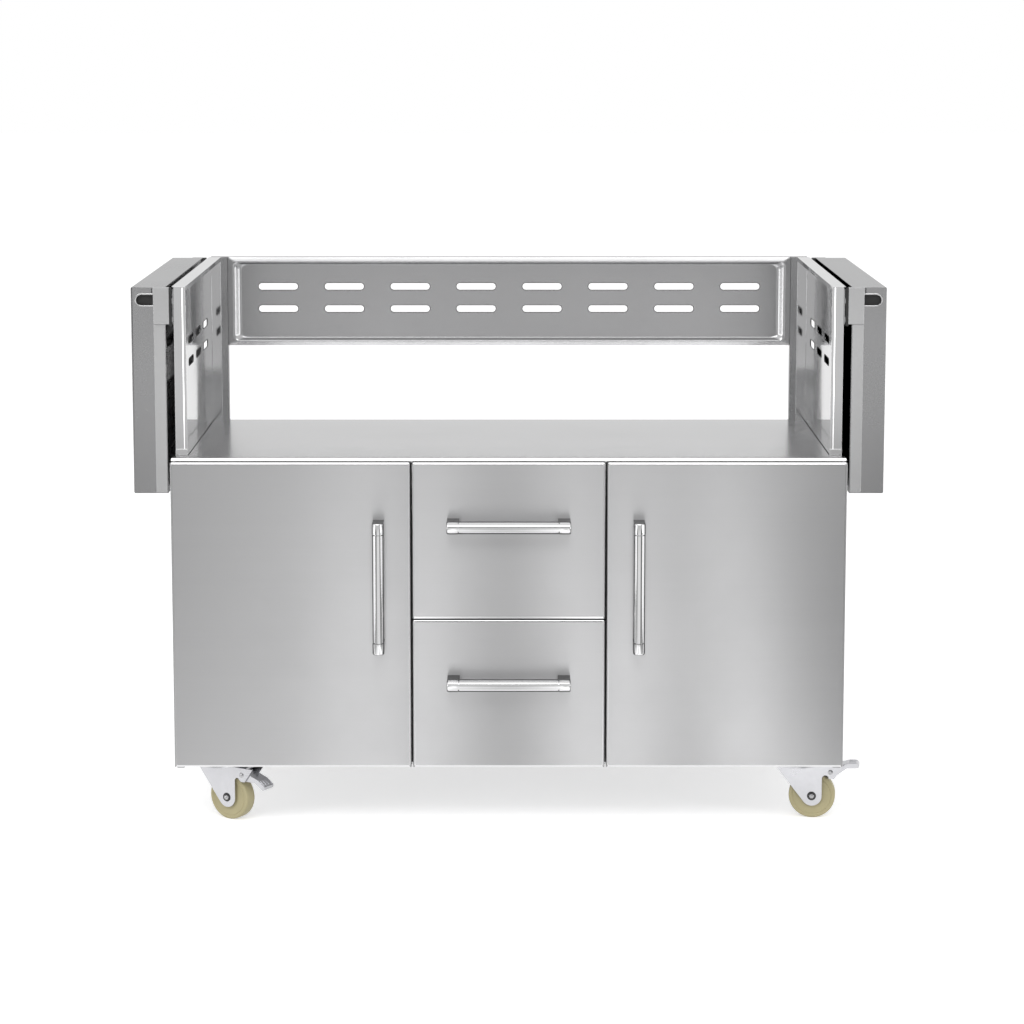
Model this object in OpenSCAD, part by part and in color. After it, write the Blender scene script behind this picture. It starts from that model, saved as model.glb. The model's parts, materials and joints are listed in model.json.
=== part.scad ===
// Grill cart with storage: a stainless steel cabinet on four swivel casters,
// with a recessed deck and side frames that take a drop-in grill head,
// two doors, two drawers and two fold-down side shelves.
// Front is -Y, right is +X, up is +Z. The origin is on the floor below the
// middle of the whole cart.

/* [Cabinet] */
// Width across the closed doors and drawer fronts
cabinet_w = 1140; // [1000:5:1400]
// Depth of the side frames, from the front of the carcass to the rear posts
frame_d = 620; // [560:5:720]
// Height of the doors
door_h = 525; // [450:5:620]
// Thickness of the doors and drawer fronts
front_t = 20; // [18:1:26]
// Width of the drawer fronts
drawer_w = 326; // [280:2:420]
// Height of the upper drawer's front
upper_front_h = 267; // [240:1:290]
// Gap between doors and drawer fronts
front_gap = 3; // [2:0.5:4]
// Gap between the fronts and the carcass
bumper_gap = 3; // [2.7:0.1:5]
// Thickness of the sheet steel
sheet = 1.5; // [1:0.1:2]
// Width of the folded edges of carcass panels
fold_w = 18; // [14:1:24]
// How far the carcass sides stand in from the doors' edges
carcass_inset = 2; // [1:0.5:4]
// Height of the base pan's upturned edges
pan_edge_h = 8; // [6:0.5:12]

/* [Deck] */
// Height of the deck's front lip
lip_h = 4.5; // [4.2:0.1:8]
// How far the lip reaches in front of the carcass
lip_reach = 22; // [20:1:24]
// Gap between the doors and the lip
lip_gap = 3; // [1:0.1:4]
// Gap between the doors and the base
base_gap = 1; // [0.8:0.1:2]
// How deep the deck lies below its front lip
deck_recess = 23.5; // [12:0.5:30]
// How far the deck overhangs the back wall
deck_overhang = 2; // [1.5:0.5:6]
// Height of the pressed field on which a grill head rests
deck_field_h = 1; // [0.5:0.1:1.4]
// Height of the side frames' corner tabs, in front of their feet
corner_tab_h = 12.5; // [6:0.5:16]

/* [Upper frame] */
// Height of the side frames above the lip
frame_h = 287.5; // [220:0.5:340]
// How far the side frames stand in from the doors' edges
frame_inset = 8; // [6:0.5:12]
// Width of the side frames' folded edges
frame_edge_w = 20; // [16:1:26]
// Depth of the hem inside each folded edge
frame_hem = 8; // [5:1:12]
// How far the side frames reach down beside the deck
frame_root_h = 4; // [2:0.5:6]
// Length of a vent slot
vent_l = 75; // [50:1:96]
// Height of a vent slot
vent_h = 13.5; // [10:0.5:20]
// Distance between neighbouring vent slots
vent_pitch = 124.3; // [110:0.1:130]
// Number of vent slots in a row of the rear panel
rear_vents = 8; // [5:1:8]
// Number of vent slots in a row of a side frame
side_vents = 4; // [2:1:4]
// Height of the rear panel
rear_panel_h = 167; // [140:1:190]
// Depth of the rear posts
post_d = 18; // [18:1:24]
// Width of the rear posts
post_w = 32; // [28:1:40]
// Width of the rim round the rear panel
panel_rim = 11; // [8:1:16]
// Depth of the pressed field in the rear panel
panel_press = 6; // [3:0.5:8]
// Corner radius of the pressed field
press_r = 8; // [4:1:14]

/* [Side shelves] */
// Thickness of a side shelf
shelf_t = 58; // [58:0.5:60]
// Length of a side shelf, from its hinge end to its free end
shelf_l = 350; // [280:2:420]
// Gap between a hanging shelf and the side frame
shelf_gap = 14; // [14:0.5:16]
// How far the front of a shelf stands behind the carcass front
shelf_set = 3; // [2.5:0.5:6]
// How far a shelf's top stands below the side frame's top
shelf_drop = 1; // [0.5:0.5:3]
// Radius of the bends at a shelf's outer corners
shelf_bend = 3; // [2:0.5:5]
// Radius of a shelf's pivot rod
rod_r = 3.5; // [3:0.1:4]
// Height of a bracket
bracket_h = 62; // [60:1:70]
// Width of a bracket's cover plate
bracket_w = 26.6; // [26:0.2:28]

/* [Handles] */
// Diameter of the door handles' bars
door_bar_d = 20; // [14:1:24]
// Length of the door handles
door_bar_l = 225; // [150:5:320]
// Diameter of the drawer handles' bars
drawer_bar_d = 22; // [14:1:24]
// Length of the drawer handles
drawer_bar_l = 209; // [150:1:260]
// How far a handle stands out from its front
handle_reach = 45; // [40:1:55]
// Length of a handle's end cap
cap_l = 20; // [16:1:26]

/* [Drawers] */
// Length of the drawer boxes
box_l = 550; // [480:5:560]
// How far the upper drawer's box ends below the top of its front
upper_box_drop = 63; // [50:1:100]
// How far the lower drawer's box ends below the top of its front
lower_box_drop = 41; // [20:1:80]
// Length of the drawer runners
runner_l = 500; // [440:5:520]
// Overall height of a runner
runner_h = 43; // [40:1:50]
// Width that a runner takes beside the box
runner_w = 12.5; // [12:0.1:14]

/* [Casters] */
// Height of a caster, from the floor to the base of the cabinet
caster_h = 105; // [100:1:115]
// Diameter of the wheels
wheel_d = 80; // [70:1:84]
// Width of the wheels
wheel_w = 25; // [20:1:28]
// Distance from a caster's kingpin to its axle, level
caster_trail = 26; // [22:1:28]
// Radius of the axle bolts
axle_r = 4; // [3:0.5:5]
// Thickness of the stamped caster plates
stamp_t = 3; // [2.5:0.1:3.5]
// Distance of the kingpins from the outer faces of the doors
kingpin_side = 70; // [68:1:120]
// Distance of the kingpins from the front and back of the side frames
kingpin_inset = 55; // [50:1:90]

/* [Hidden] */
$fn = 64;

// Running clearance between a shaft and its bore
run_fit = 0.05;
// Clearance between faces that slide past each other
slide_fit = 0.5;
// Clearance round a screw in its hole
screw_fit = 0.2;
// How far a cut runs past the face that it opens
cut = 1;

// Heights
base_z = caster_h;
door_z = base_z + base_gap;
lip_z = door_z + door_h + lip_gap;
lip_top = lip_z + lip_h;
deck_z = lip_top - deck_recess;
top_z = lip_top + frame_h;
lower_front_h = door_h - upper_front_h - front_gap;

// Widths and depths
carcass_w = cabinet_w - 2 * carcass_inset;
frame_w = cabinet_w - 2 * frame_inset;
carcass_d = frame_d + post_d;
deck_rear = carcass_d + deck_overhang;
front_y = -bumper_gap - front_t;
handle_front = front_y - handle_reach;
door_w = (cabinet_w - drawer_w) / 2 - front_gap;
divider_x = drawer_w / 2 + front_gap / 2;
rail_d = 17;
rail_h = 20;

// The middle of the cart's whole depth lies over the origin
centre_y = (handle_front + deck_rear) / 2;

// Doors turn on pins set this far in from the outer and back faces
pivot_inset = 6.8;
pivot_r = 2.5;
pivot_depth = 12;
bush_r = 3.8;
pivot_plate_t = 3;
liner_d = 10;
corner_r = 2;
catch_w = 42;
catch_h = 12;
catch_d = 16;
catch_setback = 40;
catch_clear = 0.3;
door_handle_x = 53.5;
door_handle_drop = 209;
drawer_handle_drop = 105;
handle_foot_r = 9.5;
cap_bevel = 1.5;

// The plain border of the deck, beside the frames and in front of the posts
field_border = 12;
field_side = 4;
deck_flange_h = 4.5;
deck_side_gap = 0.8;

// Vents, by the drop of their rows below the top, and the rear panel's depth
side_vent_drops = [113, 152];
rear_vent_drops = [56, 98];
panel_t = 16;

// Runners, seen from the front: three rails nested in each other
rail_t = 1.5;
runner_rise = 60;
drawer_side_gap = divider_x - sheet / 2 - runner_w;
thin = 1.2;
upper_box_lift = 12;
lower_box_lift = 22;
runner_setback = 12;

// Shelf mechanism, measured from the shelf's outer face and its top
pivot_u = shelf_t - 8;
pivot_v = 18;
pivot_fall = pivot_u - pivot_v;
guide_u = pivot_u - 9;
guide_v = 22;
guide_r = 2.2;
shelf_slot_h = 18.2;
shelf_slot_u = 9;
shelf_slot_v = 12.8;
notch_u = 35;
notch_w = 1.2;
block_w = 10;
block_t = 4;
cover_t = 2;
cover_edge = 15;
hem_start_v = 70;
channel_t = 6;
arm_h = 8;
foot_l = 40;
frame_lip = 3;
shelf_hem = 12;
shelf_x = frame_w / 2 + shelf_gap + shelf_t;
shelf_z = top_z - shelf_drop;
shelf_len_y = frame_d - 2 * shelf_set;
stiff_w = 60;
stiff_h = 14;

// Casters, measured from the kingpin and the base of the cabinet
kingpin_x = cabinet_w / 2 - kingpin_side;
plate_l = 105;
plate_w = 80;
bolt_l = 84;
bolt_w = 60;
bolt_r = 4;
bolt_head_r = 7.5;
bolt_head_h = 5;
race_r = 28;
race_h = 6;
crown_z = -stamp_t - race_h - slide_fit;
crown_r = 37;
kingpin_r = 6;
kingpin_nut_r = 9;
kingpin_nut_h = 5;
fork_in = wheel_w / 2 + 1.5;
fork_out = fork_in + stamp_t;
axle_z = wheel_d / 2 - caster_h;
axle_head_r = 7.5;
axle_head_h = 4.5;
eye_r = 17.5;
eye_cut = [13.4, 11.2];
fork_back = -40;
fork_front = 65;
skirt_nose = [64, 82];
skirt_z = -34;
notch_r = 6;
hub_r = 15;
hub_step = 1;
tread_r = 4;

// Brake pedals, measured from their pivots when raised
pedal_u = 58;
pedal_z = -22;
pedal_r = 3;
rivet_r = 4.5;
pedal_w = 2 * fork_in - 2 * slide_fit;
pedal_hub_r = 6;
pedal_top = [[0, 6], [30, 16], [46, 16], [49, 12.5]];
pedal_under = [[48, 8], [28, 7], [8, -8]];
shoe_w = 8;
shoe_l = 12.6;
shoe_angle = 1.3;
pressed_angle = 38;
rib_t = 2;
rib_span = [32, 44];
rib_count = 4;
rib_h = 1.2;

// How far each caster is turned on its kingpin
front_left_yaw = -32;
front_right_yaw = -8;
rear_left_yaw = 24;
rear_right_yaw = -20;

// Places everything: the sub-parts are drawn with the carcass front at y = 0
module placed() { translate([0, -centre_y, 0]) children(); }

// A box from its lowest to its highest corner
module block(lo, hi) { translate(lo) cube(hi - lo); }

// Both sides of the cart, the second one mirrored
module both_sides() {
    children();
    mirror([1, 0, 0]) children();
}

// A flat rectangle with round corners
module round_rect(w, h, r) {
    square([w - 2 * r, h], center = true);
    square([w, h - 2 * r], center = true);
    for (sx = [-1, 1], sy = [-1, 1])
        translate([sx * (w / 2 - r), sy * (h / 2 - r)]) circle(r);
}

// A flat slot with round ends
module obround(l, h) {
    square([l - h, h], center = true);
    for (s = [-1, 1]) translate([s * (l - h) / 2, 0]) circle(h / 2);
}

// A rod along Y that starts at its first face
module rod_y(r, l) { rotate([-90, 0, 0]) cylinder(r = r, h = l); }

// Carcass

module base_pan() {
    inner_w = carcass_w - 2 * sheet;
    rear = carcass_d - 2 * sheet;
    color("silver") placed() difference() {
        block([-inner_w / 2, sheet, base_z], [inner_w / 2, rear, base_z + pan_edge_h]);
        block([-inner_w / 2 + sheet, 0, base_z + sheet],
            [inner_w / 2 - sheet, rear - sheet, base_z + pan_edge_h + cut]);
        caster_places() caster_bolt_holes();
    }
}

module side_panel() {
    x = carcass_w / 2;
    fold_top = deck_z - sheet;
    block([x - sheet, 0, base_z], [x, carcass_d, lip_z - lip_gap]);
    block([x - fold_w, 0, base_z], [x, sheet, fold_top]);
    block([x - fold_w, carcass_d - sheet, base_z], [x, carcass_d, fold_top]);
    block([frame_w / 2, 0, lip_z - lip_gap - sheet], [x, carcass_d, lip_z - lip_gap]);
}

module left_side_panel() { color("silver") placed() mirror([1, 0, 0]) side_panel(); }
module right_side_panel() { color("silver") placed() side_panel(); }

module rear_wall() {
    x = carcass_w / 2 - sheet;
    color("silver") placed()
        block([-x, carcass_d - 2 * sheet, base_z], [x, carcass_d - sheet, deck_z - sheet]);
}

// The deck's pressed field, smaller all round by one wall
module deck_field(wall, low, high) {
    x = frame_w / 2 - frame_edge_w - field_side - wall;
    block([-x, field_border + wall, low], [x, frame_d - field_border - wall, high]);
}

module deck() {
    floor_x = frame_w / 2 - sheet - deck_side_gap;
    lip_x = carcass_w / 2;
    // The doors' back corners sweep past the ends of the wall below the lip
    wall_x = cabinet_w / 2 - 2.5 * pivot_inset;
    color("gainsboro") placed() {
        difference() {
            union() {
                block([-floor_x, 0, deck_z - sheet], [floor_x, deck_rear, deck_z]);
                deck_field(0, deck_z - sheet, deck_z + deck_field_h);
            }
            deck_field(sheet, deck_z - sheet - cut, deck_z - sheet + deck_field_h);
        }
        block([-floor_x, deck_rear - sheet, deck_z - deck_flange_h],
            [floor_x, deck_rear, deck_z]);
        block([-wall_x, -sheet, deck_z - sheet], [wall_x, 0, lip_top]);
        difference() {
            block([-lip_x, -lip_reach, lip_z], [lip_x, 0, lip_top]);
            block([-lip_x + sheet, -lip_reach + sheet, lip_z + sheet],
                [lip_x - sheet, -sheet, lip_top - sheet]);
            both_sides() door_pivot_place()
                translate([0, 0, lip_z - cut]) cylinder(r = pivot_r + screw_fit, h = sheet + 2 * cut);
        }
    }
}

module divider() {
    x = divider_x - sheet / 2;
    rear = carcass_d - 2 * sheet;
    difference() {
        union() {
            block([x, 0, base_z + sheet], [x + sheet, rear, deck_z - sheet]);
            block([x, 0, base_z + sheet], [x + fold_w, sheet, deck_z - sheet]);
        }
        rail_spaces();
        block([x - cut, rear - sheet, base_z], [x + fold_w, rear + cut, base_z + pan_edge_h]);
    }
}

module left_divider() { color("silver") placed() mirror([1, 0, 0]) divider(); }
module right_divider() { color("silver") placed() divider(); }

// The space that the two front rails fill, across the whole carcass
module rail_spaces() {
    x = carcass_w / 2 - 2 * sheet;
    block([-x, sheet, base_z + sheet], [x, rail_d, base_z + sheet + rail_h]);
    block([-x, sheet, deck_z - sheet - rail_h], [x, rail_d, deck_z - sheet]);
}

module front_rails() {
    x = carcass_w / 2;
    color("silver") placed() difference() {
        rail_spaces();
        block([-x, 2 * sheet, base_z + 2 * sheet], [x, rail_d + cut, base_z + rail_h]);
        block([-x, 2 * sheet, deck_z - rail_h], [x, rail_d + cut, deck_z - 2 * sheet]);
    }
}

// Upper frame

// A row of vent slots along X, drawn flat round the middle of the row
module vent_row(count) {
    for (i = [0 : count - 1])
        translate([(i - (count - 1) / 2) * vent_pitch, 0]) obround(vent_l, vent_h);
}

module upper_frame() {
    x = frame_w / 2;
    inner = x - frame_edge_w;
    block([x - sheet, rail_d, deck_z - frame_root_h], [x, frame_d, deck_z]);
    block([inner, -sheet, lip_top], [x, 0, lip_top + corner_tab_h]);
    difference() {
        block([x - sheet, 0, deck_z], [x, frame_d, top_z]);
        for (drop = side_vent_drops)
            translate([x, frame_d / 2, top_z - drop]) rotate([90, 0, 90])
                linear_extrude(4 * sheet, center = true) vent_row(side_vents);
    }
    block([inner, 0, top_z - sheet], [x, frame_d, top_z]);
    block([x, shelf_set, top_z - sheet], [x + frame_lip, frame_d - shelf_set, top_z]);
    block([inner, 0, top_z - frame_hem], [inner + sheet, frame_d, top_z]);
    for (y = [0, frame_d - sheet])
        block([inner, y, deck_z], [x, y + sheet, top_z]);
    for (y = [0, frame_d - frame_hem])
        block([inner, y, deck_z], [inner + sheet, y + frame_hem, top_z]);
}

module left_upper_frame() { color("silver") placed() mirror([1, 0, 0]) upper_frame(); }
module right_upper_frame() { color("silver") placed() upper_frame(); }

// The rear panel's pressed field as a block that starts at its front face
module pressed_field(grow, depth) {
    x = frame_w / 2 - post_w - panel_rim + grow;
    h = rear_panel_h - 2 * panel_rim + 2 * grow;
    translate([0, frame_d + depth, top_z - rear_panel_h / 2]) rotate([90, 0, 0])
        linear_extrude(depth + cut) round_rect(2 * x, h, press_r + grow);
}

module rear_vent_panel() {
    x = frame_w / 2 - post_w;
    back = frame_d + panel_t;
    color("darkgray") placed() difference() {
        block([-x, frame_d, top_z - rear_panel_h], [x, back, top_z]);
        pressed_field(0, panel_press);
        difference() {
            block([-x + sheet, frame_d + sheet, top_z - rear_panel_h + sheet],
                [x - sheet, back + cut, top_z - sheet]);
            pressed_field(sheet, panel_press + sheet);
        }
        for (drop = rear_vent_drops)
            translate([0, frame_d + panel_press, top_z - drop]) rotate([90, 0, 0])
                linear_extrude(4 * sheet, center = true) vent_row(rear_vents);
    }
}

module rear_posts() {
    x = frame_w / 2;
    color("darkgray") placed() both_sides() difference() {
        block([x - post_w, frame_d, deck_z], [x, frame_d + post_d, top_z]);
        block([x - post_w + sheet, frame_d + sheet, deck_z - cut],
            [x - sheet, frame_d + post_d - sheet, top_z - sheet]);
    }
}

// Side shelves. U runs from the shelf's outer face towards the cart, V runs
// down from the shelf's top; both are turned into places by this module.
module shelf_place(u, v) { translate([shelf_x - u, 0, shelf_z - v]) children(); }

// A box in U, Y and V on the right side
module shelf_block(u, y, v) {
    block([shelf_x - u[1], y[0], shelf_z - v[1]], [shelf_x - u[0], y[1], shelf_z - v[0]]);
}

// The front bracket: cover plate, channel for the pivot block, arms and foot
module shelf_bracket() {
    back = shelf_set - slide_fit;
    mid = back - channel_t;
    cover_u = pivot_u + cover_edge - bracket_w;
    far_u = pivot_u + cover_edge;
    web_u = shelf_t + shelf_gap;
    fit = slide_fit / 2;
    low = pivot_v + pivot_fall;
    shelf_block([cover_u, far_u], [mid - cover_t, mid], [0, bracket_h]);
    difference() {
        shelf_block([cover_u, far_u], [mid, back], [0, bracket_h]);
        shelf_block([pivot_u - block_w / 2 - fit, pivot_u + block_w / 2 + fit],
            [back - block_t - slide_fit, back + cut],
            [pivot_v - block_w / 2 - fit, low + block_w / 2 + fit]);
    }
    for (v = [bracket_h / 2 - arm_h, bracket_h - arm_h])
        shelf_block([far_u, web_u - sheet], [mid, back], [v - arm_h / 2, v + arm_h / 2]);
    shelf_block([web_u - sheet, web_u], [mid, foot_l], [arm_h / 2, bracket_h]);
    shelf_place(guide_u, guide_v) translate([0, back - cut, 0])
        rod_y(guide_r, slide_fit + sheet + 2 * cut);
}

// The front bracket and its mirror image at the back of the side frame
module shelf_brackets() {
    shelf_bracket();
    translate([0, frame_d, 0]) mirror([0, 1, 0]) shelf_bracket();
}

module left_shelf_brackets() {
    color("lightgray") placed() mirror([1, 0, 0]) shelf_brackets();
}
module right_shelf_brackets() { color("lightgray") placed() shelf_brackets(); }

module shelf_pan() {
    difference() {
        translate([0, shelf_set + shelf_len_y, 0]) rotate([90, 0, 0])
            linear_extrude(shelf_len_y) shelf_outline(0);
        translate([0, shelf_set + shelf_len_y - sheet, 0]) rotate([90, 0, 0])
            linear_extrude(shelf_len_y - 2 * sheet) shelf_outline(sheet);
        shelf_end_cuts();
    }
    for (y = [shelf_set + sheet, shelf_set + shelf_len_y - sheet - shelf_hem])
        shelf_block([shelf_t - sheet, shelf_t], [y, y + shelf_hem],
            [hem_start_v, shelf_l - sheet]);
    shelf_block([shelf_t - sheet, shelf_t],
        [shelf_set + sheet + shelf_hem, shelf_set + shelf_len_y - sheet - shelf_hem],
        [shelf_l - shelf_hem, shelf_l - sheet]);
}

// The shelf seen from the front, smaller all round by one wall, and then
// open towards the cart
module shelf_outline(wall) {
    r = shelf_bend - wall;
    outer = shelf_x - wall;
    inner = wall > 0 ? shelf_x - shelf_t - cut : shelf_x - shelf_t;
    high = shelf_z - wall;
    low = shelf_z - shelf_l + wall;
    translate([inner, low]) square([outer - r - inner, high - low]);
    translate([inner, low + r]) square([outer - inner, high - low - 2 * r]);
    for (z = [low + r, high - r]) translate([outer - r, z]) circle(r);
}

// The slot, the notch and the bore in both end faces of a shelf
module shelf_end_cuts() {
    slot_end = guide_u + guide_r + 2 * slide_fit;
    long = frame_d + 2 * cut;
    mid_v = shelf_slot_v + shelf_slot_h / 2;
    shelf_place((shelf_slot_u + slot_end) / 2, mid_v) translate([0, long - cut, 0])
        rotate([90, 0, 0]) linear_extrude(long)
            obround(slot_end - shelf_slot_u, shelf_slot_h);
    shelf_block([notch_u, notch_u + notch_w], [-cut, frame_d + cut], [sheet, shelf_slot_v + cut]);
    shelf_place(pivot_u, pivot_v) translate([0, -cut, 0]) rod_y(rod_r + run_fit, long);
}

module left_shelf_pan() { color("silver") placed() mirror([1, 0, 0]) shelf_pan(); }
module right_shelf_pan() { color("silver") placed() shelf_pan(); }

module shelf_stiffener() {
    y = [shelf_set + sheet, shelf_set + shelf_len_y - sheet];
    v = [shelf_l / 2 - stiff_w / 2, shelf_l / 2 + stiff_w / 2];
    difference() {
        shelf_block([sheet, sheet + stiff_h], y, v);
        shelf_block([0, stiff_h], y + [-cut, cut], v + [sheet, -sheet]);
    }
}

module left_shelf_stiffener() {
    color("silver") placed() mirror([1, 0, 0]) shelf_stiffener();
}
module right_shelf_stiffener() { color("silver") placed() shelf_stiffener(); }

module shelf_pivot_rod() {
    start = shelf_set - slide_fit - block_t;
    shelf_place(pivot_u, pivot_v) {
        translate([0, start, 0]) rod_y(rod_r, frame_d - 2 * start);
        for (y = [start, frame_d - start - block_t])
            block([-block_w / 2, y, -block_w / 2], [block_w / 2, y + block_t, block_w / 2]);
    }
}

module left_shelf_pivot_rod() {
    color("gray") placed() mirror([1, 0, 0]) shelf_pivot_rod();
}
module right_shelf_pivot_rod() { color("gray") placed() shelf_pivot_rod(); }

// Doors

// The upright axis on which the right door turns
module door_pivot_place() {
    translate([cabinet_w / 2 - pivot_inset, -bumper_gap - pivot_inset, 0]) children();
}

// The outline of a front seen from above, with its two front corners round
module front_outline(w) {
    round_rect(w, front_t, corner_r);
    translate([-w / 2, 0]) square([w, front_t / 2]);
}

// A folded front with four edges turned back, open behind
module front_shell(w, h) {
    translate([0, front_y + front_t / 2, 0]) {
        linear_extrude(h) difference() {
            front_outline(w);
            translate([0, sheet]) square([w - 2 * sheet, front_t], center = true);
        }
        for (z = [0, h - sheet]) translate([0, 0, z]) linear_extrude(sheet) front_outline(w);
    }
}

// The shallow pan that closes a folded front from behind
module front_liner(w, h) {
    x = w / 2 - sheet;
    difference() {
        block([-x, -bumper_gap - liner_d, sheet], [x, -bumper_gap, h - sheet]);
        block([-x + thin, -bumper_gap - liner_d - cut, sheet + thin],
            [x - thin, -bumper_gap - thin, h - sheet - thin]);
    }
}

// Carries a door's own middle to its place on the right
module door_place() { translate([cabinet_w / 2 - door_w / 2, 0, door_z]) children(); }

module door_panel() {
    difference() {
        door_place() front_shell(door_w, door_h);
        door_pivot_place() translate([0, 0, door_z - cut])
            cylinder(r = pivot_r + slide_fit, h = door_h + 2 * cut);
    }
}

module left_door_panel() { color("silver") placed() mirror([1, 0, 0]) door_panel(); }
module right_door_panel() { color("silver") placed() door_panel(); }

module door_liner() {
    difference() {
        door_place() front_liner(door_w, door_h);
        for (z = [door_z, door_z + door_h - 2 * sheet - thin])
            door_pivot_place() translate([0, 0, z])
                cylinder(r = bush_r + screw_fit, h = 2 * sheet + thin);
    }
}

module left_door_liner() { color("silver") placed() mirror([1, 0, 0]) door_liner(); }
module right_door_liner() { color("silver") placed() door_liner(); }

module door_bushes() {
    h = pivot_depth + sheet;
    door_pivot_place() for (z = [door_z + sheet, door_z + door_h - sheet - h])
        translate([0, 0, z]) difference() {
            cylinder(r = bush_r, h = h);
            translate([0, 0, -cut]) cylinder(r = pivot_r + run_fit, h = h + 2 * cut);
        }
}

module left_door_bushes() { color("dimgray") placed() mirror([1, 0, 0]) door_bushes(); }
module right_door_bushes() { color("dimgray") placed() door_bushes(); }

// The fixed pins on which the doors turn, each on its own plate
module door_pivots() {
    x = cabinet_w / 2 - pivot_inset;
    y = -bumper_gap - pivot_inset;
    top_pin = door_z + door_h - pivot_depth;
    low_plate = base_z - pivot_plate_t;
    color("dimgray") placed() both_sides() {
        block([x - fold_w, y - bush_r, lip_z + sheet],
            [carcass_w / 2 - sheet, -sheet, lip_top - sheet]);
        block([x - fold_w / 2, y - bush_r, low_plate], [x + bush_r, rail_d, base_z]);
        door_pivot_place() {
            translate([0, 0, top_pin]) cylinder(r = pivot_r, h = lip_top - sheet - top_pin);
            translate([0, 0, low_plate])
                cylinder(r = pivot_r, h = door_z + pivot_depth - low_plate);
        }
    }
}

// Magnetic catches under the top rail, near the doors' free edges
module door_catches() {
    x = divider_x + fold_w + catch_setback;
    z = deck_z - sheet - rail_h;
    color("dimgray") placed() both_sides()
        block([x, catch_clear - bumper_gap, z - catch_h], [x + catch_w, catch_d, z]);
}

// A handle along X round its own middle: bar, two end caps and two feet
module handle(length, d) {
    bar = length - 2 * cap_l;
    y = handle_front + d / 2;
    translate([0, y, 0]) {
        rotate([0, 90, 0]) cylinder(r = d / 2, h = bar, center = true);
        for (side = [0, 1]) mirror([side, 0, 0]) translate([bar / 2, 0, 0]) {
            rotate([0, 90, 0]) cylinder(r = d / 2, h = cap_l - cap_bevel);
            translate([cap_l - cap_bevel, 0, 0]) rotate([0, 90, 0])
                cylinder(r1 = d / 2, r2 = d / 2 - cap_bevel, h = cap_bevel);
            translate([cap_l / 2, 0, 0]) rod_y(handle_foot_r, front_y - y);
        }
    }
}

module door_handle() {
    x = divider_x + front_gap / 2 + door_handle_x;
    z = door_z + door_h - door_handle_drop;
    translate([x, 0, z]) rotate([0, 90, 0]) handle(door_bar_l, door_bar_d);
}

module left_door_handle() { color("silver") placed() mirror([1, 0, 0]) door_handle(); }
module right_door_handle() { color("silver") placed() door_handle(); }

// Drawers

module drawer_front(z, h) {
    color("silver") placed() translate([0, 0, z]) front_shell(drawer_w, h);
}
module drawer_liner(z, h) {
    color("silver") placed() translate([0, 0, z]) front_liner(drawer_w, h);
}

// An open box behind the drawer front, from its floor to its rim
module drawer_box(z, rim) {
    x = drawer_side_gap;
    back = -bumper_gap + box_l;
    color("gainsboro") placed() difference() {
        block([-x, -bumper_gap, z], [x, back, rim]);
        block([-x + thin, -bumper_gap + thin, z + thin],
            [x - thin, back - thin, rim + cut]);
    }
}

module drawer_handle(z, h) {
    color("silver") placed() translate([0, 0, z + h - drawer_handle_drop])
        handle(drawer_bar_l, drawer_bar_d);
}

// One rail of a runner: a flat web with its two edges turned to one side
module rail(x, half_h, lip_x, z) {
    lo = min(x, lip_x);
    hi = max(x + rail_t, lip_x);
    y = [runner_setback, runner_setback + runner_l];
    block([x, y[0], z - half_h], [x + rail_t, y[1], z + half_h]);
    for (side = [z - half_h, z + half_h - rail_t])
        block([lo, y[0], side], [hi, y[1], side + rail_t]);
}

// The half heights of the three rails, one inside the other
function rail_half(step) = runner_h / 2 - step * (rail_t + slide_fit);

module outer_rail(z) {
    x = drawer_side_gap + runner_w - rail_t;
    rail(x, rail_half(0), x - runner_w / 2, z);
}
module middle_rail(z) {
    x = drawer_side_gap + runner_w - 3 * rail_t;
    rail(x, rail_half(1), x - runner_w / 2, z);
}
module inner_rail(z) {
    x = drawer_side_gap;
    rail(x, rail_half(2), x + runner_w / 2, z);
}

upper_z = door_z + lower_front_h + front_gap;
upper_box_z = upper_z + upper_box_lift;
lower_box_z = door_z + lower_box_lift;
upper_runner_z = upper_box_z + runner_rise;
lower_runner_z = lower_box_z + runner_rise;

module runner_outer_rails() {
    color("lightsteelblue") placed() both_sides() {
        outer_rail(upper_runner_z);
        outer_rail(lower_runner_z);
    }
}
module upper_middle_rails() {
    color("lightsteelblue") placed() both_sides() middle_rail(upper_runner_z);
}
module lower_middle_rails() {
    color("lightsteelblue") placed() both_sides() middle_rail(lower_runner_z);
}
module upper_drawer_inner_rails() {
    color("lightsteelblue") placed() both_sides() inner_rail(upper_runner_z);
}
module lower_drawer_inner_rails() {
    color("lightsteelblue") placed() both_sides() inner_rail(lower_runner_z);
}
module upper_drawer_front() { drawer_front(upper_z, upper_front_h); }
module upper_drawer_liner() { drawer_liner(upper_z, upper_front_h); }
module upper_drawer_box() { drawer_box(upper_box_z, lip_z - lip_gap - upper_box_drop); }
module upper_drawer_handle() { drawer_handle(upper_z, upper_front_h); }
module lower_drawer_front() { drawer_front(door_z, lower_front_h); }
module lower_drawer_liner() { drawer_liner(door_z, lower_front_h); }
module lower_drawer_box() {
    drawer_box(lower_box_z, door_z + lower_front_h - lower_box_drop);
}
module lower_drawer_handle() { drawer_handle(door_z, lower_front_h); }

// Casters. Each is drawn round its kingpin, at the height of the base, with
// its wheel trailing towards +X before it is turned.

module front_left_place() {
    placed() translate([-kingpin_x, kingpin_inset, base_z]) children();
}
module front_right_place() {
    placed() translate([kingpin_x, kingpin_inset, base_z]) children();
}
module rear_left_place() {
    placed() translate([-kingpin_x, frame_d - kingpin_inset, base_z]) children();
}
module rear_right_place() {
    placed() translate([kingpin_x, frame_d - kingpin_inset, base_z]) children();
}

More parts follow.
